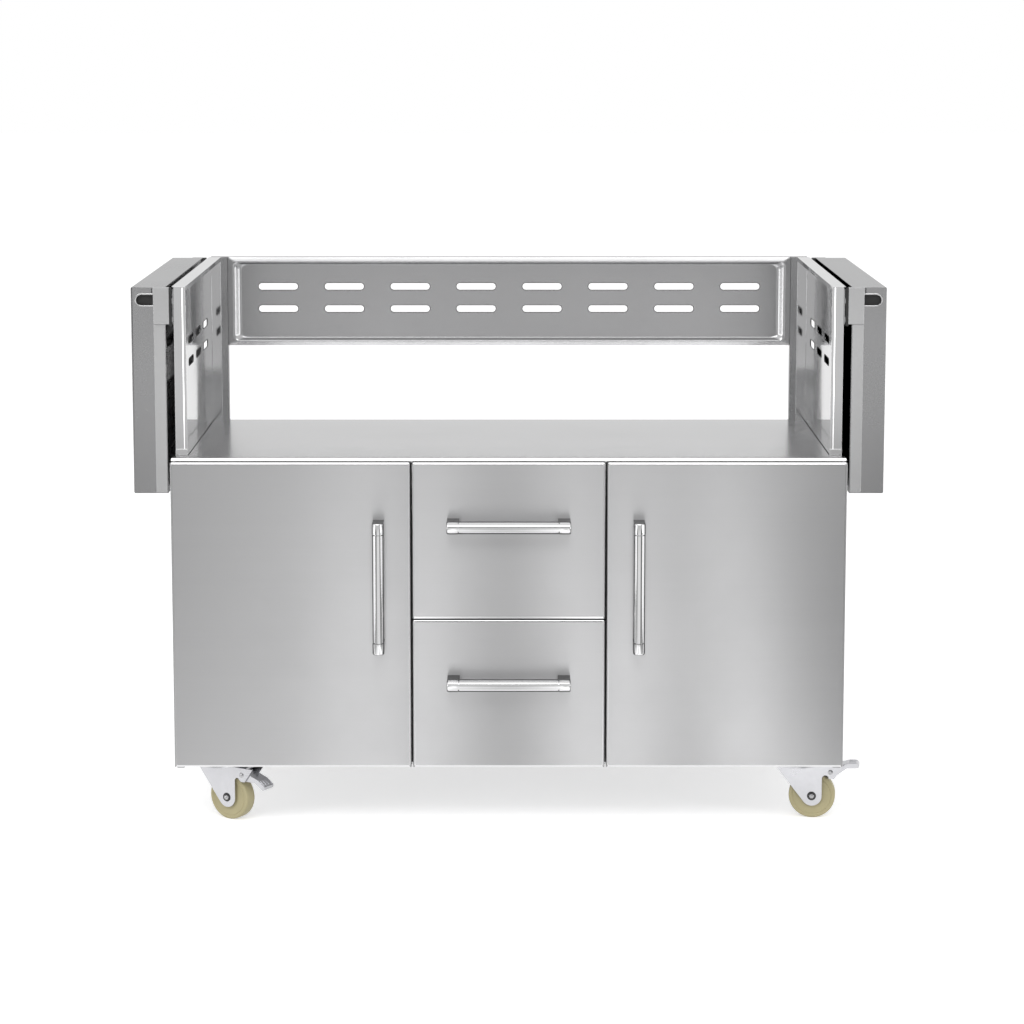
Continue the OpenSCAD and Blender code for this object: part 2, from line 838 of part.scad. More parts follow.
// The four kingpins' places, before the whole cart is placed
module caster_places() {
    for (x = [-kingpin_x, kingpin_x], y = [kingpin_inset, frame_d - kingpin_inset])
        translate([x, y, base_z]) children();
}

// The four bolts of one caster
module bolt_places() {
    for (x = [-bolt_l / 2, bolt_l / 2], y = [-bolt_w / 2, bolt_w / 2])
        translate([x, y, 0]) children();
}

module caster_bolt_holes() {
    bolt_places() translate([0, 0, -stamp_t - cut])
        cylinder(r = bolt_r + screw_fit, h = stamp_t + sheet + 2 * cut);
}

// The fixed half of a caster: plate, raceway and kingpin with its nut
module caster_top() {
    nut_z = crown_z - stamp_t - slide_fit - kingpin_nut_h;
    difference() {
        translate([0, 0, -stamp_t]) linear_extrude(stamp_t)
            round_rect(plate_l, plate_w, corner_r + stamp_t);
        caster_bolt_holes();
    }
    translate([0, 0, -stamp_t - race_h]) cylinder(r = race_r, h = race_h);
    translate([0, 0, nut_z]) cylinder(r = kingpin_r, h = -stamp_t - nut_z);
    translate([0, 0, nut_z]) cylinder(r = kingpin_nut_r, h = kingpin_nut_h, $fn = 6);
}

module caster_top_plates() { color("lightgray") placed() caster_places() caster_top(); }

module caster_bolts() {
    color("gray") placed() caster_places() bolt_places() {
        translate([0, 0, -stamp_t - bolt_head_h])
            cylinder(r = bolt_head_r, h = bolt_head_h, $fn = 6);
        translate([0, 0, -stamp_t]) cylinder(r = bolt_r, h = stamp_t + sheet + bolt_head_h);
        translate([0, 0, sheet]) cylinder(r = bolt_head_r, h = bolt_head_h, $fn = 6);
    }
}

// The side of a fork: a stamped leg that runs down to an eye round the axle,
// with a skirt in front that carries the brake pedal
module fork_side(braked) {
    edge = caster_trail + eye_r;
    difference() {
        union() {
            polygon([[fork_back, crown_z],
                [caster_trail - eye_cut[0], axle_z - eye_cut[1]], [edge, axle_z],
                [edge, skirt_z], [skirt_nose[0], skirt_z], [skirt_nose[1], crown_z]]);
            translate([caster_trail, axle_z]) circle(eye_r);
        }
        translate([edge + notch_r, skirt_z]) circle(notch_r);
        translate([caster_trail, axle_z]) circle(axle_r + screw_fit);
        if (braked) translate([pedal_u, pedal_z]) circle(pedal_r + screw_fit);
    }
}

module fork(braked) {
    for (y = [fork_out, -fork_in]) translate([0, y, 0]) rotate([90, 0, 0])
        linear_extrude(stamp_t) fork_side(braked);
    difference() {
        translate([0, 0, crown_z - stamp_t]) linear_extrude(stamp_t) {
            circle(crown_r);
            translate([fork_back, -fork_out]) square([fork_front - fork_back, 2 * fork_out]);
        }
        translate([0, 0, crown_z - stamp_t - cut])
            cylinder(r = kingpin_r + run_fit, h = stamp_t + 2 * cut);
    }
}

// The wheel's section, with a step between the hub and the tread
module wheel_section() {
    half = wheel_w / 2;
    bore = axle_r + run_fit;
    rim = wheel_d / 2 - tread_r;
    translate([bore, -half]) square([hub_r - bore, wheel_w]);
    translate([bore, hub_step - half]) square([rim - bore, wheel_w - 2 * hub_step]);
    translate([rim, hub_step + tread_r - half])
        square([tread_r, wheel_w - 2 * hub_step - 2 * tread_r]);
    for (s = [-1, 1]) translate([rim, s * (half - hub_step - tread_r)]) circle(tread_r);
}

module wheel() {
    translate([caster_trail, 0, axle_z]) rotate([90, 0, 0])
        rotate_extrude() wheel_section();
}

// The axle bolt with its head and nut, and the pin of the brake pedal
module pins(braked) {
    translate([caster_trail, 0, axle_z]) rotate([90, 0, 0]) {
        cylinder(r = axle_r, h = 2 * fork_out, center = true);
        for (side = [0, 1]) mirror([0, 0, side]) translate([0, 0, fork_out])
            cylinder(r = axle_head_r, h = axle_head_h, $fn = 6);
    }
    if (braked) translate([pedal_u, 0, pedal_z]) rotate([90, 0, 0]) {
        cylinder(r = pedal_r, h = 2 * fork_out, center = true);
        for (side = [0, 1]) mirror([0, 0, side]) translate([0, 0, fork_out])
            cylinder(r = rivet_r, h = stamp_t / 2);
    }
}

// A brake pedal, raised by the given angle from its pressed place: a hub
// round the pin, a lever with ribs on its top, and a shoe for the wheel
module pedal(angle) {
    start = [0, -pedal_hub_r];
    translate([pedal_u, 0, pedal_z]) rotate([0, pressed_angle - angle, 0]) {
        rotate([90, 0, 0]) linear_extrude(pedal_w, center = true) difference() {
            union() {
                circle(pedal_hub_r);
                polygon(concat(pedal_top, pedal_under, [start]));
                rotate(shoe_angle) translate([-shoe_w / 2, -shoe_l]) square([shoe_w, shoe_l]);
            }
            circle(pedal_r + run_fit);
        }
        for (i = [0 : rib_count - 1])
            block([rib_span[0], rib_y(i) - rib_t / 2, pedal_top[1][1] - cut],
                [rib_span[1], rib_y(i) + rib_t / 2, pedal_top[1][1] + rib_h]);
    }
}

// Where each rib lies across the pedal
function rib_y(i) = (i - (rib_count - 1) / 2) * pedal_w / rib_count;

module turned(yaw) { rotate([0, 0, yaw]) children(); }

module front_left_fork() {
    color("gainsboro") front_left_place() turned(front_left_yaw) fork(true);
}
module front_left_wheel() {
    color("darkkhaki") front_left_place() turned(front_left_yaw) wheel();
}
module front_left_pins() {
    color("gray") front_left_place() turned(front_left_yaw) pins(true);
}
module front_right_fork() {
    color("gainsboro") front_right_place() turned(front_right_yaw) fork(true);
}
module front_right_wheel() {
    color("darkkhaki") front_right_place() turned(front_right_yaw) wheel();
}
module front_right_pins() {
    color("gray") front_right_place() turned(front_right_yaw) pins(true);
}
module rear_left_fork() {
    color("gainsboro") rear_left_place() turned(rear_left_yaw) fork(false);
}
module rear_left_wheel() {
    color("darkkhaki") rear_left_place() turned(rear_left_yaw) wheel();
}
module rear_left_pins() {
    color("gray") rear_left_place() turned(rear_left_yaw) pins(false);
}
module rear_right_fork() {
    color("gainsboro") rear_right_place() turned(rear_right_yaw) fork(false);
}
module rear_right_wheel() {
    color("darkkhaki") rear_right_place() turned(rear_right_yaw) wheel();
}
module rear_right_pins() {
    color("gray") rear_right_place() turned(rear_right_yaw) pins(false);
}
module front_left_pedal() {
    color("gray") front_left_place() turned(front_left_yaw) pedal(0);
}
module front_right_pedal() {
    color("gray") front_right_place() turned(front_right_yaw) pedal(pressed_angle);
}

base_pan();
left_side_panel();
right_side_panel();
rear_wall();
deck();
left_divider();
right_divider();
front_rails();
left_upper_frame();
right_upper_frame();
rear_vent_panel();
rear_posts();
left_shelf_brackets();
right_shelf_brackets();
runner_outer_rails();
door_pivots();
door_catches();
caster_top_plates();
caster_bolts();
left_door_panel();
left_door_liner();
left_door_handle();
left_door_bushes();
right_door_panel();
right_door_liner();
right_door_handle();
right_door_bushes();
upper_drawer_front();
upper_drawer_liner();
upper_drawer_box();
upper_drawer_handle();
upper_drawer_inner_rails();
upper_middle_rails();
lower_drawer_front();
lower_drawer_liner();
lower_drawer_box();
lower_drawer_handle();
lower_drawer_inner_rails();
lower_middle_rails();
left_shelf_pan();
left_shelf_stiffener();
left_shelf_pivot_rod();
right_shelf_pan();
right_shelf_stiffener();
right_shelf_pivot_rod();
front_left_fork();
front_left_wheel();
front_left_pins();
front_right_fork();
front_right_wheel();
front_right_pins();
rear_left_fork();
rear_left_wheel();
rear_left_pins();
rear_right_fork();
rear_right_wheel();
rear_right_pins();
front_left_pedal();
front_right_pedal();
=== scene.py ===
# %% [markdown]
# # Grill cart with storage
# A stainless steel cart on four swivel casters. A drop-in grill head hangs between its two
# vented side frames, above the recessed deck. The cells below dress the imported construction
# model with bent edges, turned handles, bolts and finishes, and take the product picture.

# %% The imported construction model
import json
import math

import bmesh
import bpy
from mathutils import Matrix, Vector


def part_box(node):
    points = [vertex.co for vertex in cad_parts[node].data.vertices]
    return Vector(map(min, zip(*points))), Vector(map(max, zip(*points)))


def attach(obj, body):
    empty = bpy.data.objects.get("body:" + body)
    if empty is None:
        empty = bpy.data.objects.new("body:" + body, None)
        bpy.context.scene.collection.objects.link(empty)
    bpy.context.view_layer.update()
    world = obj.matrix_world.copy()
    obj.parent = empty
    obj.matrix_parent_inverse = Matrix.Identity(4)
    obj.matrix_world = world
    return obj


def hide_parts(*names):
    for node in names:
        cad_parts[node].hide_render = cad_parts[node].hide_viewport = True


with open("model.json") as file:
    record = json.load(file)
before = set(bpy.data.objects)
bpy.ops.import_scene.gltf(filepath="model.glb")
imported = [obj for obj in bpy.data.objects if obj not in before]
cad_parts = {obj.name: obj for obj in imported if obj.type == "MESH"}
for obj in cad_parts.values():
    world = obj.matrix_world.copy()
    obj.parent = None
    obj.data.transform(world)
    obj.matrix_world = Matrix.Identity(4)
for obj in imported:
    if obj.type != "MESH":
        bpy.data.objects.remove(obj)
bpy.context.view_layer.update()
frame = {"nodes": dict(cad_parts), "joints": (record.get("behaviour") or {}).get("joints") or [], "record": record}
nodes = frame["nodes"]

# %% [markdown]
# ## Camera
# The photo is a straight front view from a little above the cart: the side frames converge
# towards the back, while the cabinet's upright edges lean together a little towards the
# floor. A camera could be level with its picture shifted, but then the upright edges would
# stay parallel. A long lens from about five metres, tilted down eight degrees, gives both.

# %% The camera
TILT_DOWN = 8.34
camera_data = bpy.data.cameras.new("camera")
camera_data.lens = 104.5
camera_data.sensor_width = 36
camera_data.shift_y = -0.0586
camera = bpy.data.objects.new("camera", camera_data)
camera.location = (0.0055, -5.251, 1.374)
camera.rotation_euler = (math.radians(90 - TILT_DOWN), 0, 0)
bpy.context.scene.collection.objects.link(camera)
bpy.context.scene.camera = camera
print("camera at", tuple(camera.location), "tilted down", TILT_DOWN, "degrees")


# %% [markdown]
# ## Shader groups
# All finishes share a few procedural effects. Each could be drawn again in every material,
# but as a node group with named inputs it's built once and placed with its own values.
# Brushed sheet shows fine straight scratches, so its noise is stretched along the grain by
# scaling Object coordinates. Handling leaves faint cloudy marks, which is a slow noise that
# the finishes mix into colour and roughness, and thin sheet buckles in slow waves.

# %% Shader group helpers
def new_group(name, inputs, outputs):
    """A shader group with its named sockets, and its two end nodes."""
    tree = bpy.data.node_groups.new(name, "ShaderNodeTree")
    for label, kind, value in inputs:
        socket = tree.interface.new_socket(label, in_out="INPUT", socket_type=kind)
        socket.default_value = value
    for label, kind in outputs:
        tree.interface.new_socket(label, in_out="OUTPUT", socket_type=kind)
    return tree, tree.nodes.new("NodeGroupInput"), tree.nodes.new("NodeGroupOutput")


def math_node(tree, operation, a, b=None):
    """A Math node whose inputs are sockets or plain numbers."""
    n = tree.nodes.new("ShaderNodeMath")
    n.operation = operation
    for i, value in enumerate((a, b)):
        if value is None:
            continue
        if isinstance(value, (int, float)):
            n.inputs[i].default_value = value
        else:
            tree.links.new(value, n.inputs[i])
    return n.outputs[0]


def noise_node(tree, vector, scale, detail=2.0, roughness=0.5):
    """A 3D noise on the given vector."""
    n = tree.nodes.new("ShaderNodeTexNoise")
    n.inputs["Scale"].default_value = scale
    n.inputs["Detail"].default_value = detail
    n.inputs["Roughness"].default_value = roughness
    tree.links.new(vector, n.inputs["Vector"])
    return n.outputs["Fac"]


def map_range(tree, value, low, high, to_low=0.0, to_high=1.0, smooth=False):
    """A Map Range node that takes low..high to to_low..to_high and stays between them."""
    n = tree.nodes.new("ShaderNodeMapRange")
    n.interpolation_type = "SMOOTHSTEP" if smooth else "LINEAR"
    for label, number in (("From Min", low), ("From Max", high), ("To Min", to_low),
                          ("To Max", to_high)):
        n.inputs[label].default_value = number
    tree.links.new(value, n.inputs["Value"])
    return n.outputs["Result"]


def place(tree, group, **values):
    """Puts a shader group in a tree with its own values, and gives its outputs."""
    n = tree.nodes.new("ShaderNodeGroup")
    n.node_tree = group
    for label, value in values.items():
        n.inputs[label].default_value = value
    return n.outputs


def shade_base(tree, colour, tone):
    """Multiplies a colour by a tone and links it to the shader's Base Color."""
    mix = tree.nodes.new("ShaderNodeMix")
    mix.data_type = "RGBA"
    mix.blend_type = "MULTIPLY"
    mix.inputs["Factor"].default_value = 1.0
    mix.inputs["A"].default_value = (*colour, 1.0)
    tree.links.new(tone, mix.inputs["B"])
    bsdf = tree.nodes["Principled BSDF"]
    tree.links.new(mix.outputs["Result"], bsdf.inputs["Base Color"])


def brushed_grain_group():
    """Straight scratches along the axis that Stretch scales least."""
    tree, gin, gout = new_group(
        "brushed_grain",
        [("Stretch", "NodeSocketVector", (6.0, 700.0, 700.0)),
         ("Contrast", "NodeSocketFloat", 0.06)],
        [("Tone", "NodeSocketFloat"), ("Roughness", "NodeSocketFloat"),
         ("Height", "NodeSocketFloat")])
    coords = tree.nodes.new("ShaderNodeTexCoord")
    scaled = tree.nodes.new("ShaderNodeVectorMath")
    scaled.operation = "MULTIPLY"
    tree.links.new(coords.outputs["Object"], scaled.inputs[0])
    tree.links.new(gin.outputs["Stretch"], scaled.inputs[1])
    fine = noise_node(tree, scaled.outputs[0], 1.0, detail=3, roughness=0.6)
    broad = noise_node(tree, scaled.outputs[0], 0.12, detail=2)
    both = math_node(tree, "ADD", math_node(tree, "MULTIPLY", fine, 0.6),
                     math_node(tree, "MULTIPLY", broad, 0.4))
    centred = math_node(tree, "SUBTRACT", both, 0.5)
    tone = math_node(tree, "ADD", math_node(tree, "MULTIPLY", centred,
                                            gin.outputs["Contrast"]), 1.0)
    tree.links.new(tone, gout.inputs["Tone"])
    tree.links.new(centred, gout.inputs["Roughness"])
    tree.links.new(fine, gout.inputs["Height"])
    return tree


def smudge_group():
    """Cloudy marks from handling, 0 where clean, and the slow waves of thin sheet."""
    tree, gin, gout = new_group(
        "smudges", [("Scale", "NodeSocketFloat", 5.0)],
        [("Mask", "NodeSocketFloat"), ("Waves", "NodeSocketFloat")])
    coords = tree.nodes.new("ShaderNodeTexCoord")
    n = tree.nodes.new("ShaderNodeTexNoise")
    n.inputs["Detail"].default_value = 4
    n.inputs["Roughness"].default_value = 0.55
    tree.links.new(coords.outputs["Object"], n.inputs["Vector"])
    tree.links.new(gin.outputs["Scale"], n.inputs["Scale"])
    tree.links.new(map_range(tree, n.outputs["Fac"], 0.45, 0.75), gout.inputs["Mask"])
    waves = noise_node(tree, coords.outputs["Object"], 9.0, detail=0)
    tree.links.new(waves, gout.inputs["Waves"])
    return tree


GRAIN = brushed_grain_group()
SMUDGES = smudge_group()
print("shader groups:", GRAIN.name, SMUDGES.name)


# %% [markdown]
# ## Finishes
# Doors and drawer fronts are brushed along the width, which smears every reflection up and
# down. Many fine bumps could do that, but they're slow and noisy, so the smear is
# anisotropic roughness along an upright tangent, turned from Object to World space so that
# it stays with a moving door. The carcass is satin sheet, the frames and handles are
# polished, the casters and runners are zinc plated, and the wheels are beige polyurethane.
# A Layer Weight node paints shade on a handle's sides at a glancing view, like the
# reflection of a dim room.

# %% Steel finishes
MATERIALS = {}
GRAIN_HEIGHT, WAVE_HEIGHT = 0.0002, 0.004
ROUGHNESS_VARIES = 0.06
# how dark the painted shade on a handle's sides gets at a glancing view
PAINTED_SIDE_SHADE = 0.88


def metal(slot, base, rough, stretch=(6, 700, 700), contrast=0.06, smudge=0.05,
          bump=0.0, tangent=None, aniso=0.0, edge=None, wave=0.0, tube=False):
    """A metal finish for one material slot of the record: edge is its brightness at a
    glancing view, wave is how much thin sheet buckles between its folds, and tube paints
    shade into the base colour at a glancing view on meshes that have the attribute tube,
    standing in for the reflection of a dim room."""
    mat = bpy.data.materials.new(slot)
    mat.use_nodes = True
    tree = mat.node_tree
    bsdf = tree.nodes["Principled BSDF"]
    bsdf.inputs["Metallic"].default_value = 1.0
    if edge is not None:
        bsdf.inputs["Specular Tint"].default_value = (edge, edge, edge, 1.0)
    grain = place(tree, GRAIN, Stretch=stretch, Contrast=contrast)
    marks = place(tree, SMUDGES)
    mask = math_node(tree, "MULTIPLY", marks["Mask"], smudge)
    tone = math_node(tree, "SUBTRACT", grain["Tone"], mask)
    # Painted shade: on meshes with the tube attribute, the base colour darkens towards a glancing view, like the
    # reflection of a dim room.
    if tube:
        facing = tree.nodes.new("ShaderNodeLayerWeight")
        glancing = map_range(tree, facing.outputs["Facing"], 0.36, 0.56, smooth=True)
        round_bar = tree.nodes.new("ShaderNodeAttribute")
        round_bar.attribute_name = "tube"
        painted_shade = math_node(tree, "MULTIPLY", glancing, round_bar.outputs["Fac"])
        painted_shade = math_node(tree, "MULTIPLY", painted_shade, PAINTED_SIDE_SHADE)
        tone = math_node(tree, "MULTIPLY", tone, math_node(tree, "SUBTRACT", 1.0, painted_shade))
    shade_base(tree, base, tone)
    varied = math_node(tree, "MULTIPLY", grain["Roughness"], ROUGHNESS_VARIES)
    level = math_node(tree, "ADD", varied, rough)
    tree.links.new(math_node(tree, "ADD", level, mask), bsdf.inputs["Roughness"])
    for strength, distance, height in ((bump, GRAIN_HEIGHT, grain["Height"]),
                                       (wave, WAVE_HEIGHT, marks["Waves"])):
        if strength:
            bump_node = tree.nodes.new("ShaderNodeBump")
            bump_node.inputs["Strength"].default_value = strength
            bump_node.inputs["Distance"].default_value = distance
            tree.links.new(height, bump_node.inputs["Height"])
            tree.links.new(bump_node.outputs["Normal"], bsdf.inputs["Normal"])
    if tangent:
        bsdf.inputs["Anisotropic"].default_value = aniso
        direction = tree.nodes.new("ShaderNodeCombineXYZ")
        for i, value in enumerate(tangent):
            direction.inputs[i].default_value = value
        turn = tree.nodes.new("ShaderNodeVectorTransform")
        turn.vector_type = "VECTOR"
        turn.convert_from = "OBJECT"
        turn.convert_to = "WORLD"
        tree.links.new(direction.outputs[0], turn.inputs[0])
        tree.links.new(turn.outputs[0], bsdf.inputs["Tangent"])
    MATERIALS[slot] = mat


UPRIGHT = (0.05, 1.0, 0.9)
metal("brushed_stainless", (0.485, 0.485, 0.49), 0.30, contrast=0.05, bump=0.05,
      tangent=(0, 0, 1), aniso=0.9)
metal("satin_stainless", (0.47, 0.47, 0.475), 0.22, contrast=0.06, tangent=UPRIGHT,
      aniso=0.6, edge=0.55)
metal("shelf_stainless", (0.46, 0.46, 0.465), 0.26, stretch=(700, 6, 700), contrast=0.06,
      smudge=0.02, edge=0.70)
metal("deck_stainless", (0.72, 0.72, 0.725), 0.24, contrast=0.04, smudge=0.02,
      tangent=UPRIGHT, aniso=0.5, edge=0.76)
metal("polished_stainless", (0.70, 0.70, 0.705), 0.07, contrast=0.03, smudge=0.03,
      edge=0.78, wave=0.12, tube=True)
metal("drawer_box_steel", (0.56, 0.56, 0.56), 0.35)
metal("runner_zinc", (0.55, 0.56, 0.58), 0.30, stretch=(40, 40, 40), contrast=0.25)
metal("caster_zinc", (0.56, 0.56, 0.58), 0.26, stretch=(90, 90, 90), contrast=0.22)
metal("fastener_steel", (0.42, 0.42, 0.43), 0.18, stretch=(300, 300, 300), contrast=0.2)
print("finishes:", ", ".join(MATERIALS))


# %% Plastics, and the finish of each CAD node
def plastic(slot, base, rough):
    """A matte moulded plastic with a fine speckle, for one material slot."""
    mat = bpy.data.materials.new(slot)
    mat.use_nodes = True
    tree = mat.node_tree
    tree.nodes["Principled BSDF"].inputs["Roughness"].default_value = rough
    grain = place(tree, GRAIN, Stretch=(350, 350, 350), Contrast=0.1)
    shade_base(tree, base, grain["Tone"])
    MATERIALS[slot] = mat


plastic("wheel_tread", (0.46, 0.41, 0.24), 0.5)
plastic("black_plastic", (0.02, 0.02, 0.02), 0.45)

slot_of = {p["node"]: p["material_slot"] for p in frame["record"]["subparts"]}
for name, obj in nodes.items():
    for i in range(len(obj.material_slots)):
        obj.material_slots[i].material = MATERIALS[slot_of[name]]
    if not obj.material_slots:
        obj.data.materials.append(MATERIALS[slot_of[name]])
body_of = {n: b for b, ns in frame["record"]["behaviour"]["bodies"].items() for n in ns}
print("painted", len(nodes), "nodes")


# %% [markdown]
# ## Bent and pressed sheet
# Folded sheet has small round bends, and each cut edge is broken a little, so edges catch
# a thin line of light. The fronts of doors and drawers are folded back round a low slope.
# A Bevel modifier alone would trip over a CAD mesh's loose triangles, so each mesh is
# copied, its triangles are merged and joined into flat faces, and the slope is cut into
# the copy of a front. Then a live Bevel rounds the edges that turn sharply.

# %% Soft edges
FRONTS = ["left_door_panel", "right_door_panel", "upper_drawer_front", "lower_drawer_front"]
SLOPE_W, SLOPE_D = 0.0032, 0.0018
NEAR = 0.0002


def clean_copy(node):
    """The node's mesh with its vertices merged and its flat faces joined."""
    bm = bmesh.new()
    bm.from_mesh(nodes[node].data)
    bmesh.ops.remove_doubles(bm, verts=bm.verts, dist=1e-5)
    bmesh.ops.dissolve_limit(bm, angle_limit=math.radians(1), verts=bm.verts,
                             edges=bm.edges, delimit=set())
    bmesh.ops.recalc_face_normals(bm, faces=bm.faces)
    bm.verts.index_update()
    verts = [v.co.copy() for v in bm.verts]
    faces = [[v.index for v in f.verts] for f in bm.faces]
    bm.free()
    return verts, faces


def carried(name, mesh, node):
    """An object for a mesh, which rides with the node's body."""
    obj = bpy.data.objects.new(name, mesh)
    bpy.context.scene.collection.objects.link(obj)
    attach(obj, body_of[node])
    return obj


def piece(name, verts, faces, node, slot=None):
    """A visual mesh that rides with the node's body and wears its slot's finish."""
    mesh = bpy.data.meshes.new(name)
    mesh.from_pydata(verts, [], faces)
    mesh.materials.append(MATERIALS[slot or slot_of[node]])
    for face in mesh.polygons:
        face.use_smooth = True
    return carried(name, mesh, node)


def outward(obj):
    """Recalculates an object's face normals so that they point outwards."""
    bm = bmesh.new()
    bm.from_mesh(obj.data)
    bmesh.ops.recalc_face_normals(bm, faces=bm.faces)
    bm.to_mesh(obj.data)
    bm.free()


def live_bevel(obj, width):
    """Rounds an object's edges with a live Bevel modifier."""
    bevel = obj.modifiers.new("edges", "BEVEL")
    bevel.width = width
    bevel.segments = 2
    bevel.harden_normals = True
    return bevel


def chamfer_front(bm, lo, hi):
    """Cuts a low slope round the front face of a panel with the given box."""
    rim = []
    for e in bm.edges:
        a, b = (v.co for v in e.verts)
        upright = any(max(abs(a.x - x), abs(b.x - x)) < NEAR for x in (lo.x, hi.x))
        level = any(max(abs(a.z - z), abs(b.z - z)) < NEAR for z in (lo.z, hi.z))
        if max(a.y, b.y) < lo.y + NEAR and (upright or level):
            rim.append(e)
    bmesh.ops.bevel(bm, geom=rim, offset=SLOPE_W, segments=1, affect="EDGES")
    for v in bm.verts:
        if abs(v.co.y - lo.y - SLOPE_W) < NEAR:
            v.co.y = lo.y + SLOPE_D


def soften(node):
    """Stands in for a CAD node with its sharp edges rounded."""
    verts, faces = clean_copy(node)
    obj = piece(node + "_soft", verts, faces, node)
    bm = bmesh.new()
    bm.from_mesh(obj.data)
    if node in FRONTS:
        chamfer_front(bm, *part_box(node))
    weight = bm.edges.layers.float.new("bevel_weight_edge")
    for e in bm.edges:
        if e.is_manifold and e.calc_face_angle(0) > math.radians(30):
            e[weight] = 1.0
    bm.to_mesh(obj.data)
    bm.free()
    bevel = live_bevel(obj, 0.0005)
    bevel.limit_method = "WEIGHT"
    bevel.use_clamp_overlap = False
    bevel.miter_outer = "MITER_ARC"
    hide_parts(node)


print("fronts with a slope:", ", ".join(FRONTS))


# %% All the sheet parts
MODELLED = [n for n in nodes if n.endswith(("_handle", "_wheel", "_pins"))
            or n == "caster_bolts"]
for name in nodes:
    if name not in MODELLED:
        soften(name)
print("softened", len(nodes) - len(MODELLED), "nodes")


# %% [markdown]
# ## Bright trim, dark seams and painted shade in the gaps
# The inner half of each shelf's end, and the cover of each bracket above it, are a paler,
# smoother sheet than the shelf. The narrow gaps of the cart look black: beside each
# bracket, behind a shelf's slot, on the rear posts and between doors and drawers. On the
# rear posts that black is a dark joint; in the other gaps it is shade, painted by a black
# plate laid in the gap. Paint on the big parts could show both, but real plates have edges
# that catch the light. So each is a thin plate laid on the solid, with its edges rounded
# by a live Bevel modifier.

# %% Shelf end strips, bracket covers, painted gap shade, hinge liners and post seams
SIDES = (("left", -1), ("right", 1))
TRIM = 0.0004
LINING = 0.0006


def plate(name, x, y, z, node, slot):
    """A thin sheet plate with soft edges, given by its two ends along each axis."""
    corners = [Vector((a, b, c)) for a in x for b in y for c in z]
    faces = [[0, 1, 3, 2], [4, 6, 7, 5], [0, 4, 5, 1], [2, 3, 7, 6], [0, 2, 6, 4],
             [1, 5, 7, 3]]
    obj = piece(name, corners, faces, node, slot=slot)
    outward(obj)
    live_bevel(obj, min(b - a for a, b in (x, y, z)) * 0.45)


def mirrored(sign, near, far):
    """The two ends across X of a plate on one side, in rising order."""
    return sorted((sign * near, sign * far))


for side, sign in SIDES:
    shelf, brackets = side + "_shelf_pan", side + "_shelf_brackets"
    pan_lo, pan_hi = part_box(shelf)
    cover_lo, cover_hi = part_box(brackets)
    inner = min(abs(pan_lo.x), abs(pan_hi.x)) + 0.0015
    strip_x = mirrored(sign, inner, inner + 0.0185)
    strip_z = (pan_lo.z + 0.0015, cover_lo.z - 0.001)
    for end, y in (("front", pan_lo.y - TRIM), ("rear", pan_hi.y)):
        plate(side + "_shelf_" + end + "_strip", strip_x, (y, y + TRIM), strip_z, shelf,
              "deck_stainless")
    cover_x = mirrored(sign, 0.5697, 0.5949)
    cover_z = (cover_hi.z - 0.0613, cover_hi.z - 0.0007)
    for end, y in (("front", cover_lo.y - TRIM), ("rear", cover_hi.y)):
        plate(side + "_bracket_" + end + "_cover", cover_x, (y, y + TRIM), cover_z,
              brackets, "deck_stainless")
    # Painted shade: a black plate in the gap beside the bracket stands in for the shadow there.
    plate(side + "_gap_painted_shade", mirrored(sign, 0.5645, 0.5693),
          (cover_lo.y + LINING, cover_lo.y + 2 * LINING), (0.860, 0.9248), brackets,
          "black_plastic")
    plate(side + "_hinge_liner", mirrored(sign, 0.5762, 0.5768), (-0.280, 0.328),
          (0.840, 0.9235), shelf, "shelf_stainless")
    # Painted shade: a black plate behind the shelf's slot darkens its depth.
    plate(side + "_slot_painted_shade", mirrored(sign, 0.589, 0.630),
          (pan_lo.y + 0.0060, pan_lo.y + 0.0066), (0.886, 0.920), shelf, "black_plastic")
    plate(side + "_post_seam", mirrored(sign, 0.5296, 0.5303), (0.3336, 0.3342),
          (0.7594, 0.9257), "rear_posts", "black_plastic")
    # Painted shade: a black plate on the divider darkens the gap between a door and the drawers.
    plate(side + "_door_gap_painted_shade", mirrored(sign, 0.1639, 0.1690), (-0.2885, -0.2879),
          (0.110, 0.629), side + "_divider", "black_plastic")
# Of what this prints, the seals, the black liners and the gaskets are plates that paint shade into the gaps; the
# seams are dark joints.
print("laid trim on two shelves, seals, liners, seams and gaskets")


# %% [markdown]
# ## Hems and pressed rims
# The deck's lip and the inner edge of each side frame are folded over, and the slanted
# side of such a hem shines as one bright line. A hem is a short section drawn out along
# its edge. The rim of the rear panel's pressed field is a soft S in section, a bright hem
# lies on the slope round each front, and the slots of the shelves have a flat pressed rim.
# A bevelled box can't follow such sections round a corner, so all of these are rows of
# rounded rectangles, joined.

# %% Hems
def hem(name, section, axis, start, end, node, slot):
    """A bar of one section, given by its two other coordinates, along one axis."""
    count, verts = len(section), []
    for at in (start, end):
        for pair in section:
            corner = list(pair)
            corner.insert("xyz".index(axis), at)
            verts.append(Vector(corner))
    faces = [list(range(count)), list(range(count, 2 * count))]
    faces += [[i, (i + 1) % count, count + (i + 1) % count, count + i]
              for i in range(count)]
    obj = piece(name, verts, faces, node, slot=slot)
    outward(obj)
    live_bevel(obj, 0.0003)


